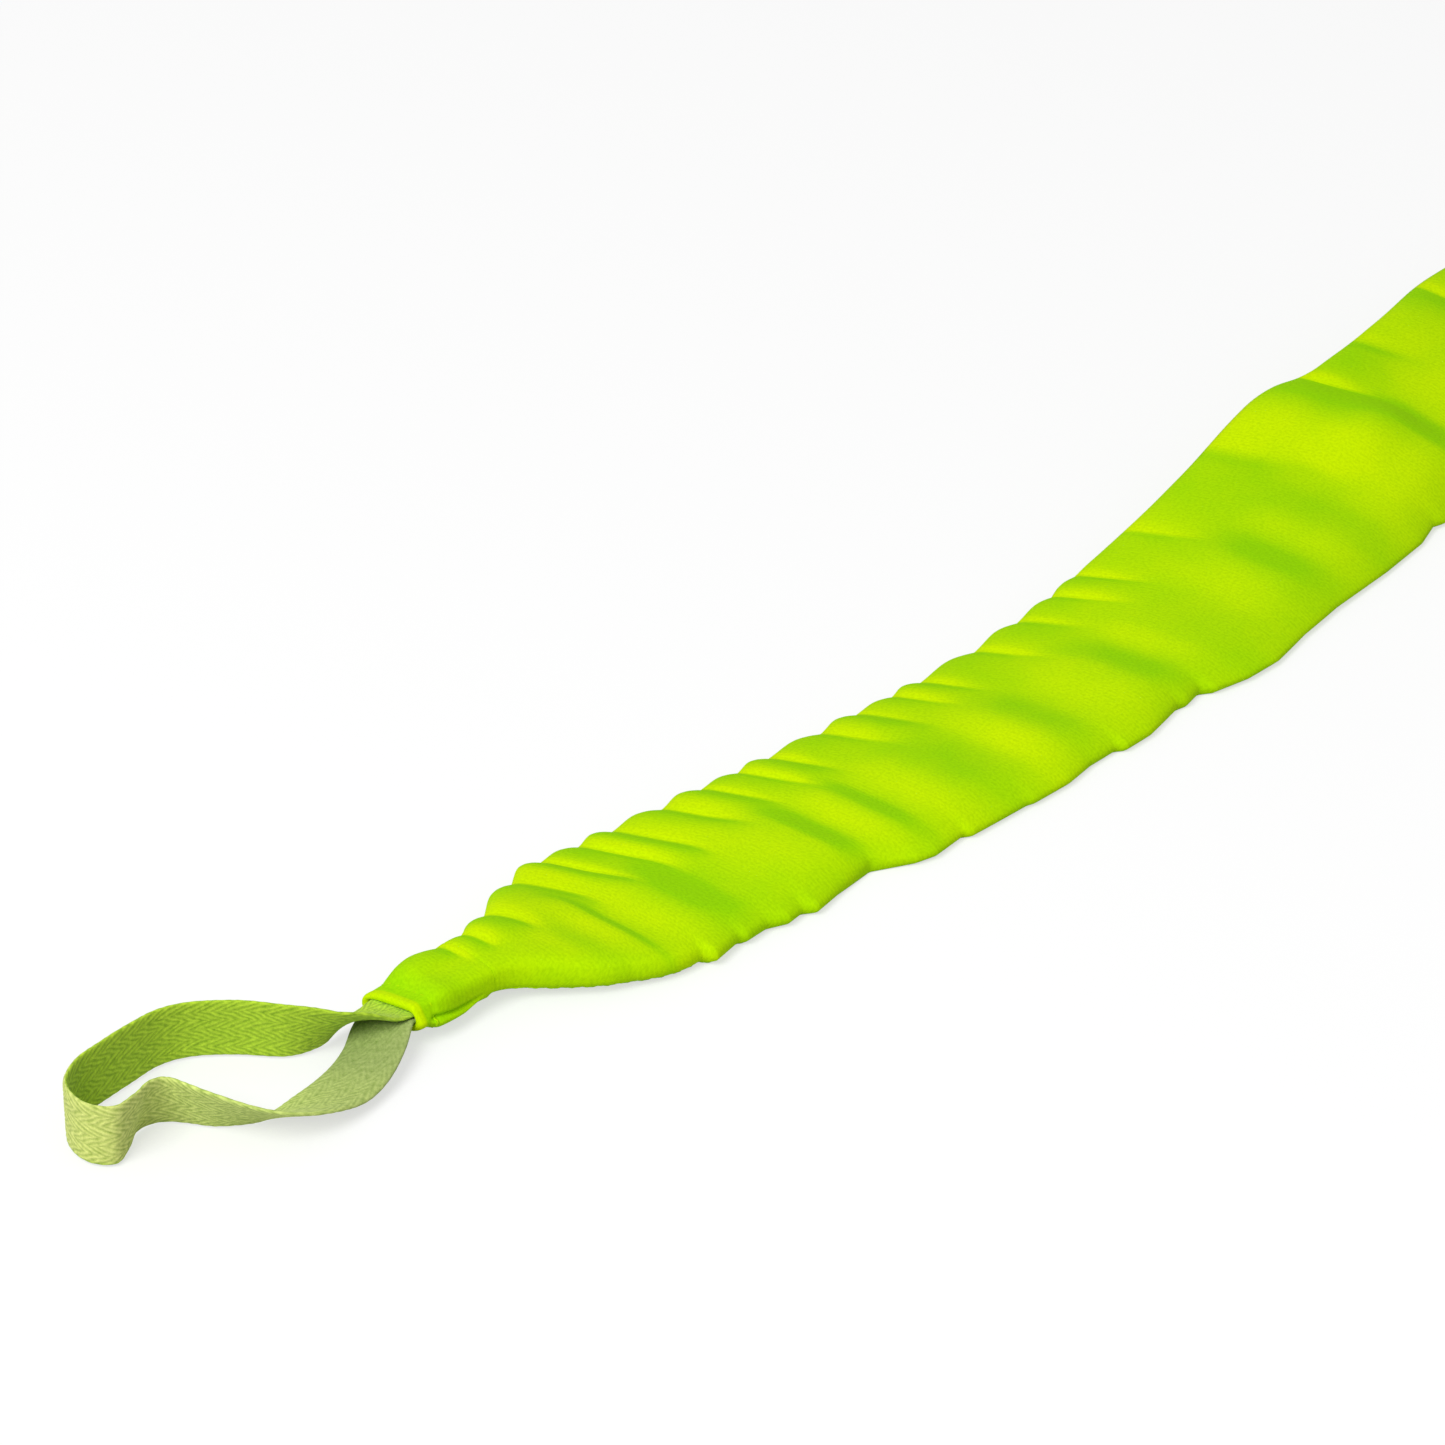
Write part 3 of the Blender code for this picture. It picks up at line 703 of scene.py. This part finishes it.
def at_end(points, way):
    """World points from an end's own frame, whose origin is under the cuff mouth and whose x goes inward:
    turned by the sway's heading, moved to the near mouth, and turned half round for the far end."""
    heading = float(sway(np.array(0.0))[1])
    x = points[..., 0] * np.cos(heading) - points[..., 1] * np.sin(heading) - BAND_LENGTH / 2
    y = points[..., 0] * np.sin(heading) + points[..., 1] * np.cos(heading)
    return np.stack([way * x, way * y, points[..., 2]], axis=-1)


def tilted(inward, sideways, height):
    """Points of an end frame, where the mouth is tilted and a smooth step takes the tilt out behind it."""
    tilt = MOUTH_TILT * (1.0 - ease(inward, 0.0, TILT_END))
    return np.stack(np.broadcast_arrays(inward, sideways, CUFF_MIDDLE + height - tilt * sideways), axis=-1)


def lip_share(inward):
    """1 on the front half of the lip, and 0 behind it by a smooth step over the rear half."""
    return 1.0 - ease(inward, LIP_LENGTH / 2, LIP_LENGTH)


def cuff_outside(inward, across, side):
    """Outside of the cuff in its end frame: the band's own form, a little over it. It swells at the lip and
    dips by a bell curve at the hem. Towards -Y its top is drawn in at the mouth, and a narrow tuck of a
    bell curve rises to the rear. Below it a flap stands out and droops by smooth steps, and goes in again
    at the floor."""
    along = np.maximum(inward, 0.0)
    folds, scallop = gathers(along, across)
    sideways, height = band_outside(along, across, side, folds, scallop, -CUFF_OVER)
    up = height / np.abs(height).max()
    lip = LIP_HEIGHT * lip_share(inward)
    hem = HEM_DEPTH * np.exp(-((inward - HEM_PLACE) / HEM_SPREAD) ** 2)
    slant = MOUTH_SLANT * (1.0 - ease(inward, 0.0, SLANT_END))
    slant = slant * ease(up, *SLANT_UP) * ease(-across, *SLANT_ACROSS)
    behind_lip = hump(inward, FLAP_START, FLAP_FULL, FLAP_FADE, FLAP_END) * (across < 0)
    rearward = np.clip((inward - FLAP_START) / (FLAP_END - FLAP_START), 0.0, 1.0)
    below = TUCK_FRONT + (TUCK_REAR - TUCK_FRONT) * rearward - up
    flap = FLAP_WIDTH * ease(below, 0.0, FLAP_LEDGE)
    flap = flap * bulge(np.maximum(-up, 0.0) * FLAP_TURN_UNDER, *FLAP_POWERS)
    tuck = TUCK_DEPTH * np.exp(-(below / TUCK_SPREAD) ** 2)
    sideways = sideways + slant + across * (lip - hem + (flap - tuck) * behind_lip)
    droop = FLAP_DROOP * behind_lip * ease(below, 0.0, DROOP_FULL) * ease(-across, *DROOP_ACROSS)
    height = height + np.maximum(up, 0.0) * (lip - hem) - droop
    return tilted(inward, sideways, height)


def cuff_inside(inward, across, side):
    """Passage through the cuff in its end frame: a boxy round that a smooth step draws in at the mouth.
    Towards -Y its floor rises with the outside."""
    pinch = 1.0 - ease(inward, 0.0, PINCH_END)
    half_width = CAVITY_WIDTH / 2 + (MOUTH_WIDTH - CAVITY_WIDTH) / 2 * pinch
    half_height = CAVITY_HEIGHT / 2 + (MOUTH_HEIGHT - CAVITY_HEIGHT) / 2 * pinch
    up = side * bulge(across, *NECK_POWERS)
    tucked = ease(inward, CROWN_START, TUCK_FULL) * ease(-across, *NEAR_RISE_ACROSS)
    tucked = tucked * (1.0 - np.maximum(up, 0.0))
    return tilted(inward, across * half_width, up * half_height + MOUTH_RISE * pinch + NEAR_RISE * tucked)


def cuff_ring():
    """Places across for a ring of the cuff, at even distances round a flattened round a third as high."""
    across, side = ring_across(RING_FINENESS * CUFF_COLUMNS, 0.0)
    outline = np.stack([across, side * bulge(across, *RING_POWERS) / 3], axis=1)
    even = evenly(np.concatenate([outline, outline[:1]]), CUFF_COLUMNS + 1)[:-1, 0]
    return even, np.where(np.arange(CUFF_COLUMNS) < CUFF_COLUMNS / 2, 1.0, -1.0)


def cuff_shell():
    """Closed shell of the cuff: out along the outside, round the rear edge, back through the passage, and
    round the rolled lip. Both rolls are half ellipses, and the share of wall goes with their cosine."""
    roll = np.linspace(0.0, np.pi, CUFF_ROLL_ROWS + 2)[1:-1]
    run = np.linspace(0.0, 1.0, CUFF_ROWS)
    ones = np.ones(CUFF_ROWS)
    straight = CUFF_LENGTH - 2 * LIP_ROLL
    inward = np.concatenate([
        LIP_ROLL + straight * run,
        CUFF_LENGTH - LIP_ROLL + REAR_BULGE * LIP_ROLL * np.sin(roll),
        CUFF_LENGTH - LIP_ROLL - straight * run,
        LIP_ROLL - LIP_BULGE * LIP_ROLL * np.sin(roll),
    ])[:, None]
    wall = np.concatenate([ones, (1 + np.cos(roll)) / 2, 0 * ones, (1 - np.cos(roll)) / 2])[:, None, None]
    across, side = cuff_ring()
    outer = cuff_outside(inward, across, side)
    inner = cuff_inside(inward, across, side)
    return inner + (outer - inner) * wall


def paint_cuff_light(points):
    """Painted light of the cuff's colour: a painted highlight on the lip, painted shade just behind it, and
    by the slope of the folds, as on the sleeve, at its rear."""
    inward = points[..., 0]
    across = cuff_ring()[0]
    folds_behind = gathers(inward + SHADE_STEP, across)[0]
    folds_before = gathers(inward - SHADE_STEP, across)[0]
    slope = (folds_behind - folds_before) / (2 * SHADE_STEP)
    rear = ease(inward, LIP_LENGTH, CUFF_LENGTH)
    behind = 0.5 - SHADE_FRONT * (1.0 - rear) + SLOPE_PAINT_GAIN * slope * rear
    return np.clip(np.maximum(lip_share(inward), behind), 0.0, 1.0)


cuff_points = cuff_shell()
# Painted light of the cuff's colour: a highlight on the lip, shade behind it, and slope light at the rear.
cuff_painted_light = paint_cuff_light(cuff_points)
for end, body, _, way in ENDS:
    cuff = grid_piece(end + "_cuff_knit", at_end(cuff_points, way), "joined", cuff_painted_light)
    cuff.data.materials.append(brushed_knit)
    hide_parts(end + "_cuff")
    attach(cuff, body)

# Tape loops: a 15 mm herringbone twill tape of cotton, doubled into a loop with both tails sewn into the
# cuff. It is soft enough to wave, stands on edge at the tip, and twists down onto its flat side on its way
# back.
TAPE_THICKNESS = 1.0 * MM
TAIL_LENGTH = 12 * MM
TAIL_OVERHANG = 4 * MM
TAIL_OFFSET = 1.7 * MM
TAIL_STRAIGHT = 7 * MM
TAIL_LEAN = 85.0
MOUTH_LEAN = 78.0
UPPER_PINCH = 1.05 * MM
LOWER_PINCH = -0.45 * MM
LOWER_SIDE = -0.6 * MM
SIDE_GROWTH = 3
FLOOR_SOFTNESS = 0.8 * MM
LOOP_LENGTH = 79 * MM
LOOP_WIDTH = 37 * MM
TAPE_ROWS = 800
TAPE_COLUMNS = 120
TAPE_EVENNESS = 0.8
TAPE_POWERS = (14.0, 2.5)
KNOT_STEPS = 24
TWILL_STRIPES = 6
TWILL_PITCH = 2.6 * MM
TWILL_SLANT = math.radians(25.0)
TWILL_DEPTH = 0.12 * MM
TWILL_WANDER = 0.5 * MM
WANDER_LENGTH = 17 * MM
WANDER_SHIFT = 2.4
TWILL_JITTER = 0.3 * MM
JITTER_LENGTH = 5.3 * MM
JITTER_SHIFT = 4.1
EDGE_SOFTEN = 20
SOFTEN_ROUNDS = 2
TIP_START = 70 * MM
TIP_FULL = 92 * MM
TIP_FADE = 118 * MM
TIP_END = 150 * MM
DULL_START = 160 * MM
DULL_FULL = 188 * MM
FELT_SHARE = 0.6
FELT_LEVEL = 0.7
FACE_BLEND = 0.5 * MM
LOOP_ROUTE = np.array((
    # Share of the loop's length away from the mouth, share of its width towards +Y, height of the tape's
    # middle as a share of half its width, and lean in degrees, where 0 stands on edge and 90 lies flat.
    (0.13, 0.02, 0.95, 55),
    (0.21, 0.05, 0.93, 28),
    (0.30, 0.16, 0.99, 12),
    (0.39, 0.38, 1.00, 9),
    (0.49, 0.55, 1.00, 8),
    (0.58, 0.61, 1.00, 5),
    (0.68, 0.59, 1.00, 0),
    (0.79, 0.55, 1.00, 0),
    (0.89, 0.50, 1.00, 0),
    (0.97, 0.38, 1.00, 0),
    (1.00, 0.23, 1.00, 0),
    (0.995, 0.08, 1.00, 0),
    (0.95, -0.02, 1.00, 4),
    (0.88, 0.03, 1.00, 12),
    (0.81, 0.11, 1.00, 20),
    (0.74, 0.07, 0.92, 35),
    (0.67, -0.18, 0.80, 46),
    (0.58, -0.36, 0.66, 57),
    (0.49, -0.41, 0.54, 68),
    (0.39, -0.395, 0.40, 80),
    (0.31, -0.36, 0.32, 89),
    (0.225, -0.295, 0.36, 85),
    (0.135, -0.185, 0.45, 82),
))


def curve_through(knots, steps):
    """Catmull-Rom curve through the knots: between each two, the cubic whose end slopes are half the step
    from the knot before to the knot after."""
    before = np.concatenate([knots[:1], knots[:-2]])[:, None]
    start, end = knots[:-1, None], knots[1:, None]
    after = np.concatenate([knots[2:], knots[-1:]])[:, None]
    share = (np.arange(steps) / steps)[None, :, None]
    cubic = 0.5 * (
        2 * start + (end - before) * share
        + (2 * before - 5 * start + 4 * end - after) * share ** 2
        + (3 * start - before - 3 * end + after) * share ** 3
    )
    return np.concatenate([cubic.reshape(-1, knots.shape[1]), knots[-1:]])


def running_mean(path, reach):
    """Each point's mean with as many neighbours on both sides as the reach; the ends are held."""
    held = np.pad(path, ((reach, reach), (0, 0)), mode="edge")
    window = np.ones(2 * reach + 1) / (2 * reach + 1)
    return np.stack([np.convolve(column, window, mode="valid") for column in held.T], axis=1)


def tape_route():
    """Middle line and lean of the tape in its end frame, at even distances on the curve through the knots
    of the upper tail, the loop and the lower tail, and those distances. The tails come together where the
    mouth pinches them."""
    knots = np.stack([
        -LOOP_ROUTE[:, 0] * LOOP_LENGTH,
        LOOP_ROUTE[:, 1] * LOOP_WIDTH,
        LOOP_ROUTE[:, 2] * TAPE_WIDTH / 2,
        LOOP_ROUTE[:, 3],
    ], axis=1)
    tails = []
    for offset, pinch, aside in ((TAIL_OFFSET, UPPER_PINCH, 0.0), (-TAIL_OFFSET, LOWER_PINCH, LOWER_SIDE)):
        tails.append([
            (TAIL_LENGTH, 0.0, CUFF_MIDDLE + offset, 90.0),
            (TAIL_STRAIGHT, 0.0, CUFF_MIDDLE + offset, TAIL_LEAN),
            (0.0, aside, CUFF_MIDDLE + pinch, MOUTH_LEAN),
            (-TAIL_OVERHANG, SIDE_GROWTH * aside, CUFF_MIDDLE + pinch, MOUTH_LEAN),
        ])
    route = curve_through(np.vstack([tails[0], knots, tails[1][::-1]]), KNOT_STEPS)
    length = path_distance(route[:, :3])[-1]
    return evenly(route, TAPE_ROWS), np.linspace(0.0, length, TAPE_ROWS)


def square_to(heading, vectors):
    """The vectors less what runs along the heading, at length 1."""
    return unit(vectors - heading * (vectors * heading).sum(axis=1, keepdims=True))


def tape_surface():
    """Tape in its end frame: a thin flat round carried along the route. Its width leans over sideways, is
    evened out by a running mean and made square to the route, and a soft maximum keeps its edge off the
    floor. The twill's ribs are a cosine of the distance along plus a triangle wave across, which turns them
    back at each stripe. They wander a little, and towards the lower tail, where the tape is felted, a
    smooth step flattens them."""
    route, distance = tape_route()
    heading = unit(np.gradient(route[:, :3], axis=0))
    lean = np.radians(route[:, 3])
    edge = np.stack([0 * lean, -np.sin(lean), np.cos(lean)], axis=1)
    for _ in range(SOFTEN_ROUNDS):
        edge = running_mean(square_to(heading, edge), EDGE_SOFTEN)
    edge = square_to(heading, edge)
    face = np.cross(heading, edge)
    middle = route[:, :3].copy()
    lowest = np.abs(edge[:, 2]) * TAPE_WIDTH / 2 + np.abs(face[:, 2]) * TAPE_THICKNESS / 2
    apart = middle[:, 2] - lowest
    middle[:, 2] = lowest + (apart + np.sqrt(apart ** 2 + FLOOR_SOFTNESS ** 2)) / 2

    along = distance[:, None]
    across, side = ring_across(TAPE_COLUMNS, TAPE_EVENNESS)
    stripe = (across + 1.0) / 2 * TWILL_STRIPES
    zigzag = np.abs(stripe % 2.0 - 1.0) * TAPE_WIDTH / TWILL_STRIPES / math.tan(TWILL_SLANT)
    wander = TWILL_WANDER * np.sin(2 * np.pi * along / WANDER_LENGTH + WANDER_SHIFT * np.floor(stripe))
    wander = wander + TWILL_JITTER * np.sin(2 * np.pi * along / JITTER_LENGTH + JITTER_SHIFT * stripe)
    rib = 0.5 + 0.5 * np.cos(2 * np.pi * (along + zigzag + wander) / TWILL_PITCH)
    rib = rib + (FELT_LEVEL - rib) * FELT_SHARE * ease(along, DULL_START, DULL_FULL)
    thick = side * bulge(across, *TAPE_POWERS) * (TAPE_THICKNESS / 2 + TWILL_DEPTH * (rib - 0.5))
    wide = np.broadcast_to(across * TAPE_WIDTH / 2, thick.shape)
    points = middle[:, None] + edge[:, None] * wide[..., None] + face[:, None] * thick[..., None]
    return points, rib


def twill_links(material):
    """Pale green cotton, with painted highlights on the ribs and painted shade in the grooves between them,
    slubs where the yarn runs thick and thin, and a fuzz of short fibre. The outside of the tip and the strand
    past it are paler, painted light where the loop is lit most, and towards the lower tail it is darker."""
    place = add_node(material, "TexCoord").outputs["UV"]
    painted_light = add_node(material, "Attribute", attribute_name="painted_light").outputs["Fac"]
    slub = add_node(
        material, "TexNoise", {"Scale": 1 / (1.4 * MM), "Detail": 5.0, "Roughness": 0.7}, {"Vector": place})
    yarn = add_node(
        material, "MapRange", {"From Min": 0.35, "From Max": 0.65, "To Max": 0.5},
        {"Value": slub.outputs["Fac"]})
    raised = add_node(
        material, "Math", {1: 0.5}, {0: painted_light, 2: yarn.outputs["Result"]}, operation="MULTIPLY_ADD")
    spot = add_node(material, "SeparateXYZ", None, {"Vector": place}).outputs
    outside_face = add_node(
        material, "MapRange",
        {"From Min": TAPE_WIDTH + FACE_BLEND, "From Max": TAPE_WIDTH - FACE_BLEND}, {"Value": spot["X"]})
    to_tip = add_node(
        material, "MapRange", {"From Min": TIP_START, "From Max": TIP_FULL},
        {"Value": spot["Y"], "To Max": outside_face.outputs["Result"]})
    past_tip = add_node(
        material, "MapRange", {"From Min": TIP_FADE, "From Max": TIP_END}, {"Value": spot["Y"]})
    to_cuff = add_node(
        material, "MapRange", {"From Min": DULL_START, "From Max": DULL_FULL}, {"Value": spot["Y"]})
    # Painted highlight: the outside of the tip is painted paler, as lit.
    tip_painted_highlight = add_node(
        material, "Mix", {MIX_A: linear("#cef042"), MIX_B: linear("#eef690")},
        {MIX_FACTOR: to_tip.outputs["Result"]}, data_type="RGBA")
    # Painted light: past the tip both faces of the strand are painted paler.
    strand_painted_light = add_node(
        material, "Mix", {MIX_B: linear("#e8f88e")},
        {MIX_FACTOR: past_tip.outputs["Result"], MIX_A: tip_painted_highlight.outputs[MIX_RESULT]}, data_type="RGBA")
    cloth = add_node(
        material, "Mix", {MIX_B: linear("#b6c678")},
        {MIX_FACTOR: to_cuff.outputs["Result"], MIX_A: strand_painted_light.outputs[MIX_RESULT]}, data_type="RGBA")
    # Painted shade in the grooves between ribs; the ribs keep the lighter cloth colour as a painted
    # highlight.
    groove = add_node(
        material, "Mix", {MIX_B: linear("#a6b88b"), MIX_FACTOR: 1.0},
        {MIX_A: cloth.outputs[MIX_RESULT]}, data_type="RGBA", blend_type="MULTIPLY")
    tint = add_node(
        material, "Mix", None,
        {
            MIX_FACTOR: raised.outputs["Value"],
            MIX_A: groove.outputs[MIX_RESULT],
            MIX_B: cloth.outputs[MIX_RESULT],
        },
        data_type="RGBA")
    fuzz = add_node(material, "TexNoise", {"Scale": 1 / (0.4 * MM), "Detail": 3.0}, {"Vector": place})
    bump = add_node(
        material, "Bump", {"Strength": 0.7, "Distance": 0.2 * MM}, {"Height": fuzz.outputs["Fac"]})
    return {"Base Color": tint.outputs[MIX_RESULT], "Normal": bump.outputs["Normal"]}


# Cotton twill: matt and slightly fuzzy, with a visible diagonal weave.
cotton_twill = new_material(
    "herringbone_cotton_twill",
    {"Roughness": 0.95, "IOR": 1.5, "Specular IOR Level": 0.2, "Sheen Weight": 0.1},
    twill_links,
)

tape_points, tape_rib = tape_surface()
for end, body, loop_body, way in ENDS:
    tape = grid_piece(end + "_twill_loop", at_end(tape_points, way), "capped", tape_rib)
    tape.data.materials.append(cotton_twill)
    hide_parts(end + "_loop_tape")
    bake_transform(tape)

# Hem stitches and bar tacks: the hem stitch runs round each cuff behind its lip and dips into the knit
# between stitches. The bar tack goes through cuff, tape tails and elastic, and holds the whole pull.
HEM_ROWS = 420
HEM_STITCH = 2.8 * MM
HEM_DIP = 0.15 * MM
HEM_SINK = 0.3 * MM
TACK_PLACE = 8.5 * MM
TACK_HALF_LENGTH = 1.1 * MM
TACK_STITCHES = 8
TACK_SPACING = 1.5 * MM
TACK_ROWS = 520
TACK_SINK = 0.3 * MM
TACK_SOFTEN = 5
TACK_REFERENCE = np.array((0.0, 1.0, 1.0))


def hem_path():
    """Closed line round the cuff at the hem: its outline, moved out and in by a sine of the distance."""
    ring = cuff_outside(np.array([[HEM_PLACE]]), *cuff_ring())[0]
    ring = evenly(np.concatenate([ring, ring[:1]]), HEM_ROWS + 1)[:-1]
    outward = unit(ring - np.array((HEM_PLACE, 0.0, CUFF_MIDDLE)))
    stitches = round(path_distance(ring)[-1] / HEM_STITCH)
    wave = np.sin(2 * np.pi * stitches * np.arange(HEM_ROWS) / HEM_ROWS)
    return ring + outward * (HEM_DIP * wave - HEM_SINK)[:, None]


def tack_path():
    """Zigzag of the bar tack: up through the stack, over the cuff, down again and back under it. The
    corners are softened by a running mean."""
    stitch = np.arange(TACK_STITCHES)
    odd = stitch % 2 == 1
    inward = TACK_PLACE + TACK_HALF_LENGTH * np.where(odd, 1, -1)
    across = TACK_SPACING * (stitch - (TACK_STITCHES - 1) / 2)
    share = across / (CAVITY_WIDTH / 2)
    top = cuff_outside(inward, share, 1.0)[:, 2] - TACK_SINK
    bottom = cuff_outside(inward, share, -1.0)[:, 2] + TACK_SINK
    legs = np.stack([
        np.stack([inward, across, np.where(odd, top, bottom)], axis=1),
        np.stack([inward, across, np.where(odd, bottom, top)], axis=1),
    ], axis=1).reshape(-1, 3)
    return running_mean(evenly(legs, TACK_ROWS), TACK_SOFTEN)


hem_line = hem_path()
tack_line = tack_path()
for end, body, _, way in ENDS:
    inward_axis = at_end(np.array((1.0, 0.0, 0.0)), way) - at_end(np.zeros(3), way)
    hem = thread_piece(end + "_hem_stitches", at_end(hem_line, way), inward_axis, "joined")
    tack = thread_piece(end + "_tack_stitches", at_end(tack_line, way), TACK_REFERENCE, "capped")
    for stitches, node in ((hem, "_hem_thread"), (tack, "_tack_thread")):
        stitches.data.materials.append(spun_polyester)
        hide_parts(end + node)
        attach(stitches, body)

# Studio: a white floor and an even white surround, with one large soft lamp from the side of the near loop.
# Seen from the camera the floor is lightened to white, and it keeps a faint shadow of the band.
FLOOR_SIZE = 12.0
FLOOR_DEPTH = 0.2 * MM
FLOOR_GLOW = 0.62
SURROUND_LEVEL = 0.44
LAMP_DIRECTION = np.array((-0.68, -0.14, 0.72))
LAMP_DISTANCE = 3.0
LAMP_SIZE = 1.6
LAMP_LEVEL = 0.75
CAMERA_TARGET = np.array((-0.1740, 0.0394, 0.0))
CAMERA_DISTANCE = 1.386
CAMERA_AZIMUTH = math.radians(-46.8)
CAMERA_ELEVATION = math.radians(30.0)
CAMERA_FIELD = math.radians(14.0)


def aim(obj, place, target):
    """Stand a lamp or camera at a place, looking at a target with its top up."""
    from_target = Vector(place - target)
    obj.location = place
    obj.rotation_mode = "QUATERNION"
    obj.rotation_quaternion = (-from_target).to_track_quat("-Z", "Y")
    bpy.context.scene.collection.objects.link(obj)


def directly_seen(holder):
    """1 for rays from the camera and for those that gloss or glass send on, and 0 for light."""
    ray = add_node(holder, "LightPath").outputs
    sent_on = add_node(
        holder, "Math", None, {0: ray["Is Glossy Ray"], 1: ray["Is Transmission Ray"]}, operation="MAXIMUM")
    seen = add_node(
        holder, "Math", None, {0: ray["Is Camera Ray"], 1: sent_on.outputs["Value"]}, operation="MAXIMUM")
    return seen.outputs["Value"]


floor_corners = np.array(((-1, -1, 0), (1, -1, 0), (1, 1, 0), (-1, 1, 0))) * FLOOR_SIZE / 2
floor_mesh = bpy.data.meshes.new("floor")
floor_mesh.from_pydata((floor_corners - np.array((0, 0, FLOOR_DEPTH))).tolist(), [], [(0, 1, 2, 3)])
floor = bpy.data.objects.new("floor", floor_mesh)
bpy.context.scene.collection.objects.link(floor)
floor_paint = bpy.data.materials.new("matt_white_floor")
floor_paint.use_nodes = True
floor_nodes = floor_paint.node_tree.nodes
floor_nodes.remove(floor_nodes["Principled BSDF"])
matt = add_node(floor_paint, "BsdfDiffuse", {"Color": linear("#cbcbcb")})
shown = add_node(floor_paint, "BsdfDiffuse", {"Color": linear("#aaaaaa")})
glow = add_node(floor_paint, "Emission", {"Strength": FLOOR_GLOW})
lightened = add_node(floor_paint, "AddShader", None, {0: shown.outputs["BSDF"], 1: glow.outputs["Emission"]})
floor_mix = add_node(
    floor_paint, "MixShader", None,
    {0: directly_seen(floor_paint), 1: matt.outputs["BSDF"], 2: lightened.outputs["Shader"]})
floor_paint.node_tree.links.new(floor_mix.outputs["Shader"], floor_nodes["Material Output"].inputs["Surface"])
floor_mesh.materials.append(floor_paint)

world = bpy.data.worlds.new("white_surround")
world.use_nodes = True
bpy.context.scene.world = world
surround = world.node_tree.nodes["Background"]
surround.inputs["Color"].default_value = linear("#ffffff")
surround_strength = add_node(
    world, "MapRange", {"To Min": SURROUND_LEVEL, "To Max": 1.0}, {"Value": directly_seen(world)})
world.node_tree.links.new(surround_strength.outputs["Result"], surround.inputs["Strength"])

lamp_light = bpy.data.lights.new("soft_side_lamp", "AREA")
lamp_light.size = LAMP_SIZE
lamp_light.energy = LAMP_LEVEL * math.pi ** 2 * LAMP_DISTANCE ** 2
lamp = bpy.data.objects.new("soft_side_lamp", lamp_light)
aim(lamp, CAMERA_TARGET + unit(LAMP_DIRECTION) * LAMP_DISTANCE, CAMERA_TARGET)

camera_data = bpy.data.cameras.new("camera")
camera_data.angle = CAMERA_FIELD
camera = bpy.data.objects.new("camera", camera_data)
camera_back = np.array((
    math.sin(CAMERA_AZIMUTH) * math.cos(CAMERA_ELEVATION),
    -math.cos(CAMERA_AZIMUTH) * math.cos(CAMERA_ELEVATION),
    math.sin(CAMERA_ELEVATION),
))
aim(camera, CAMERA_TARGET + camera_back * CAMERA_DISTANCE, CAMERA_TARGET)
bpy.context.scene.camera = camera
bpy.context.scene.view_settings.view_transform = "Standard"

bpy.context.view_layer.update()
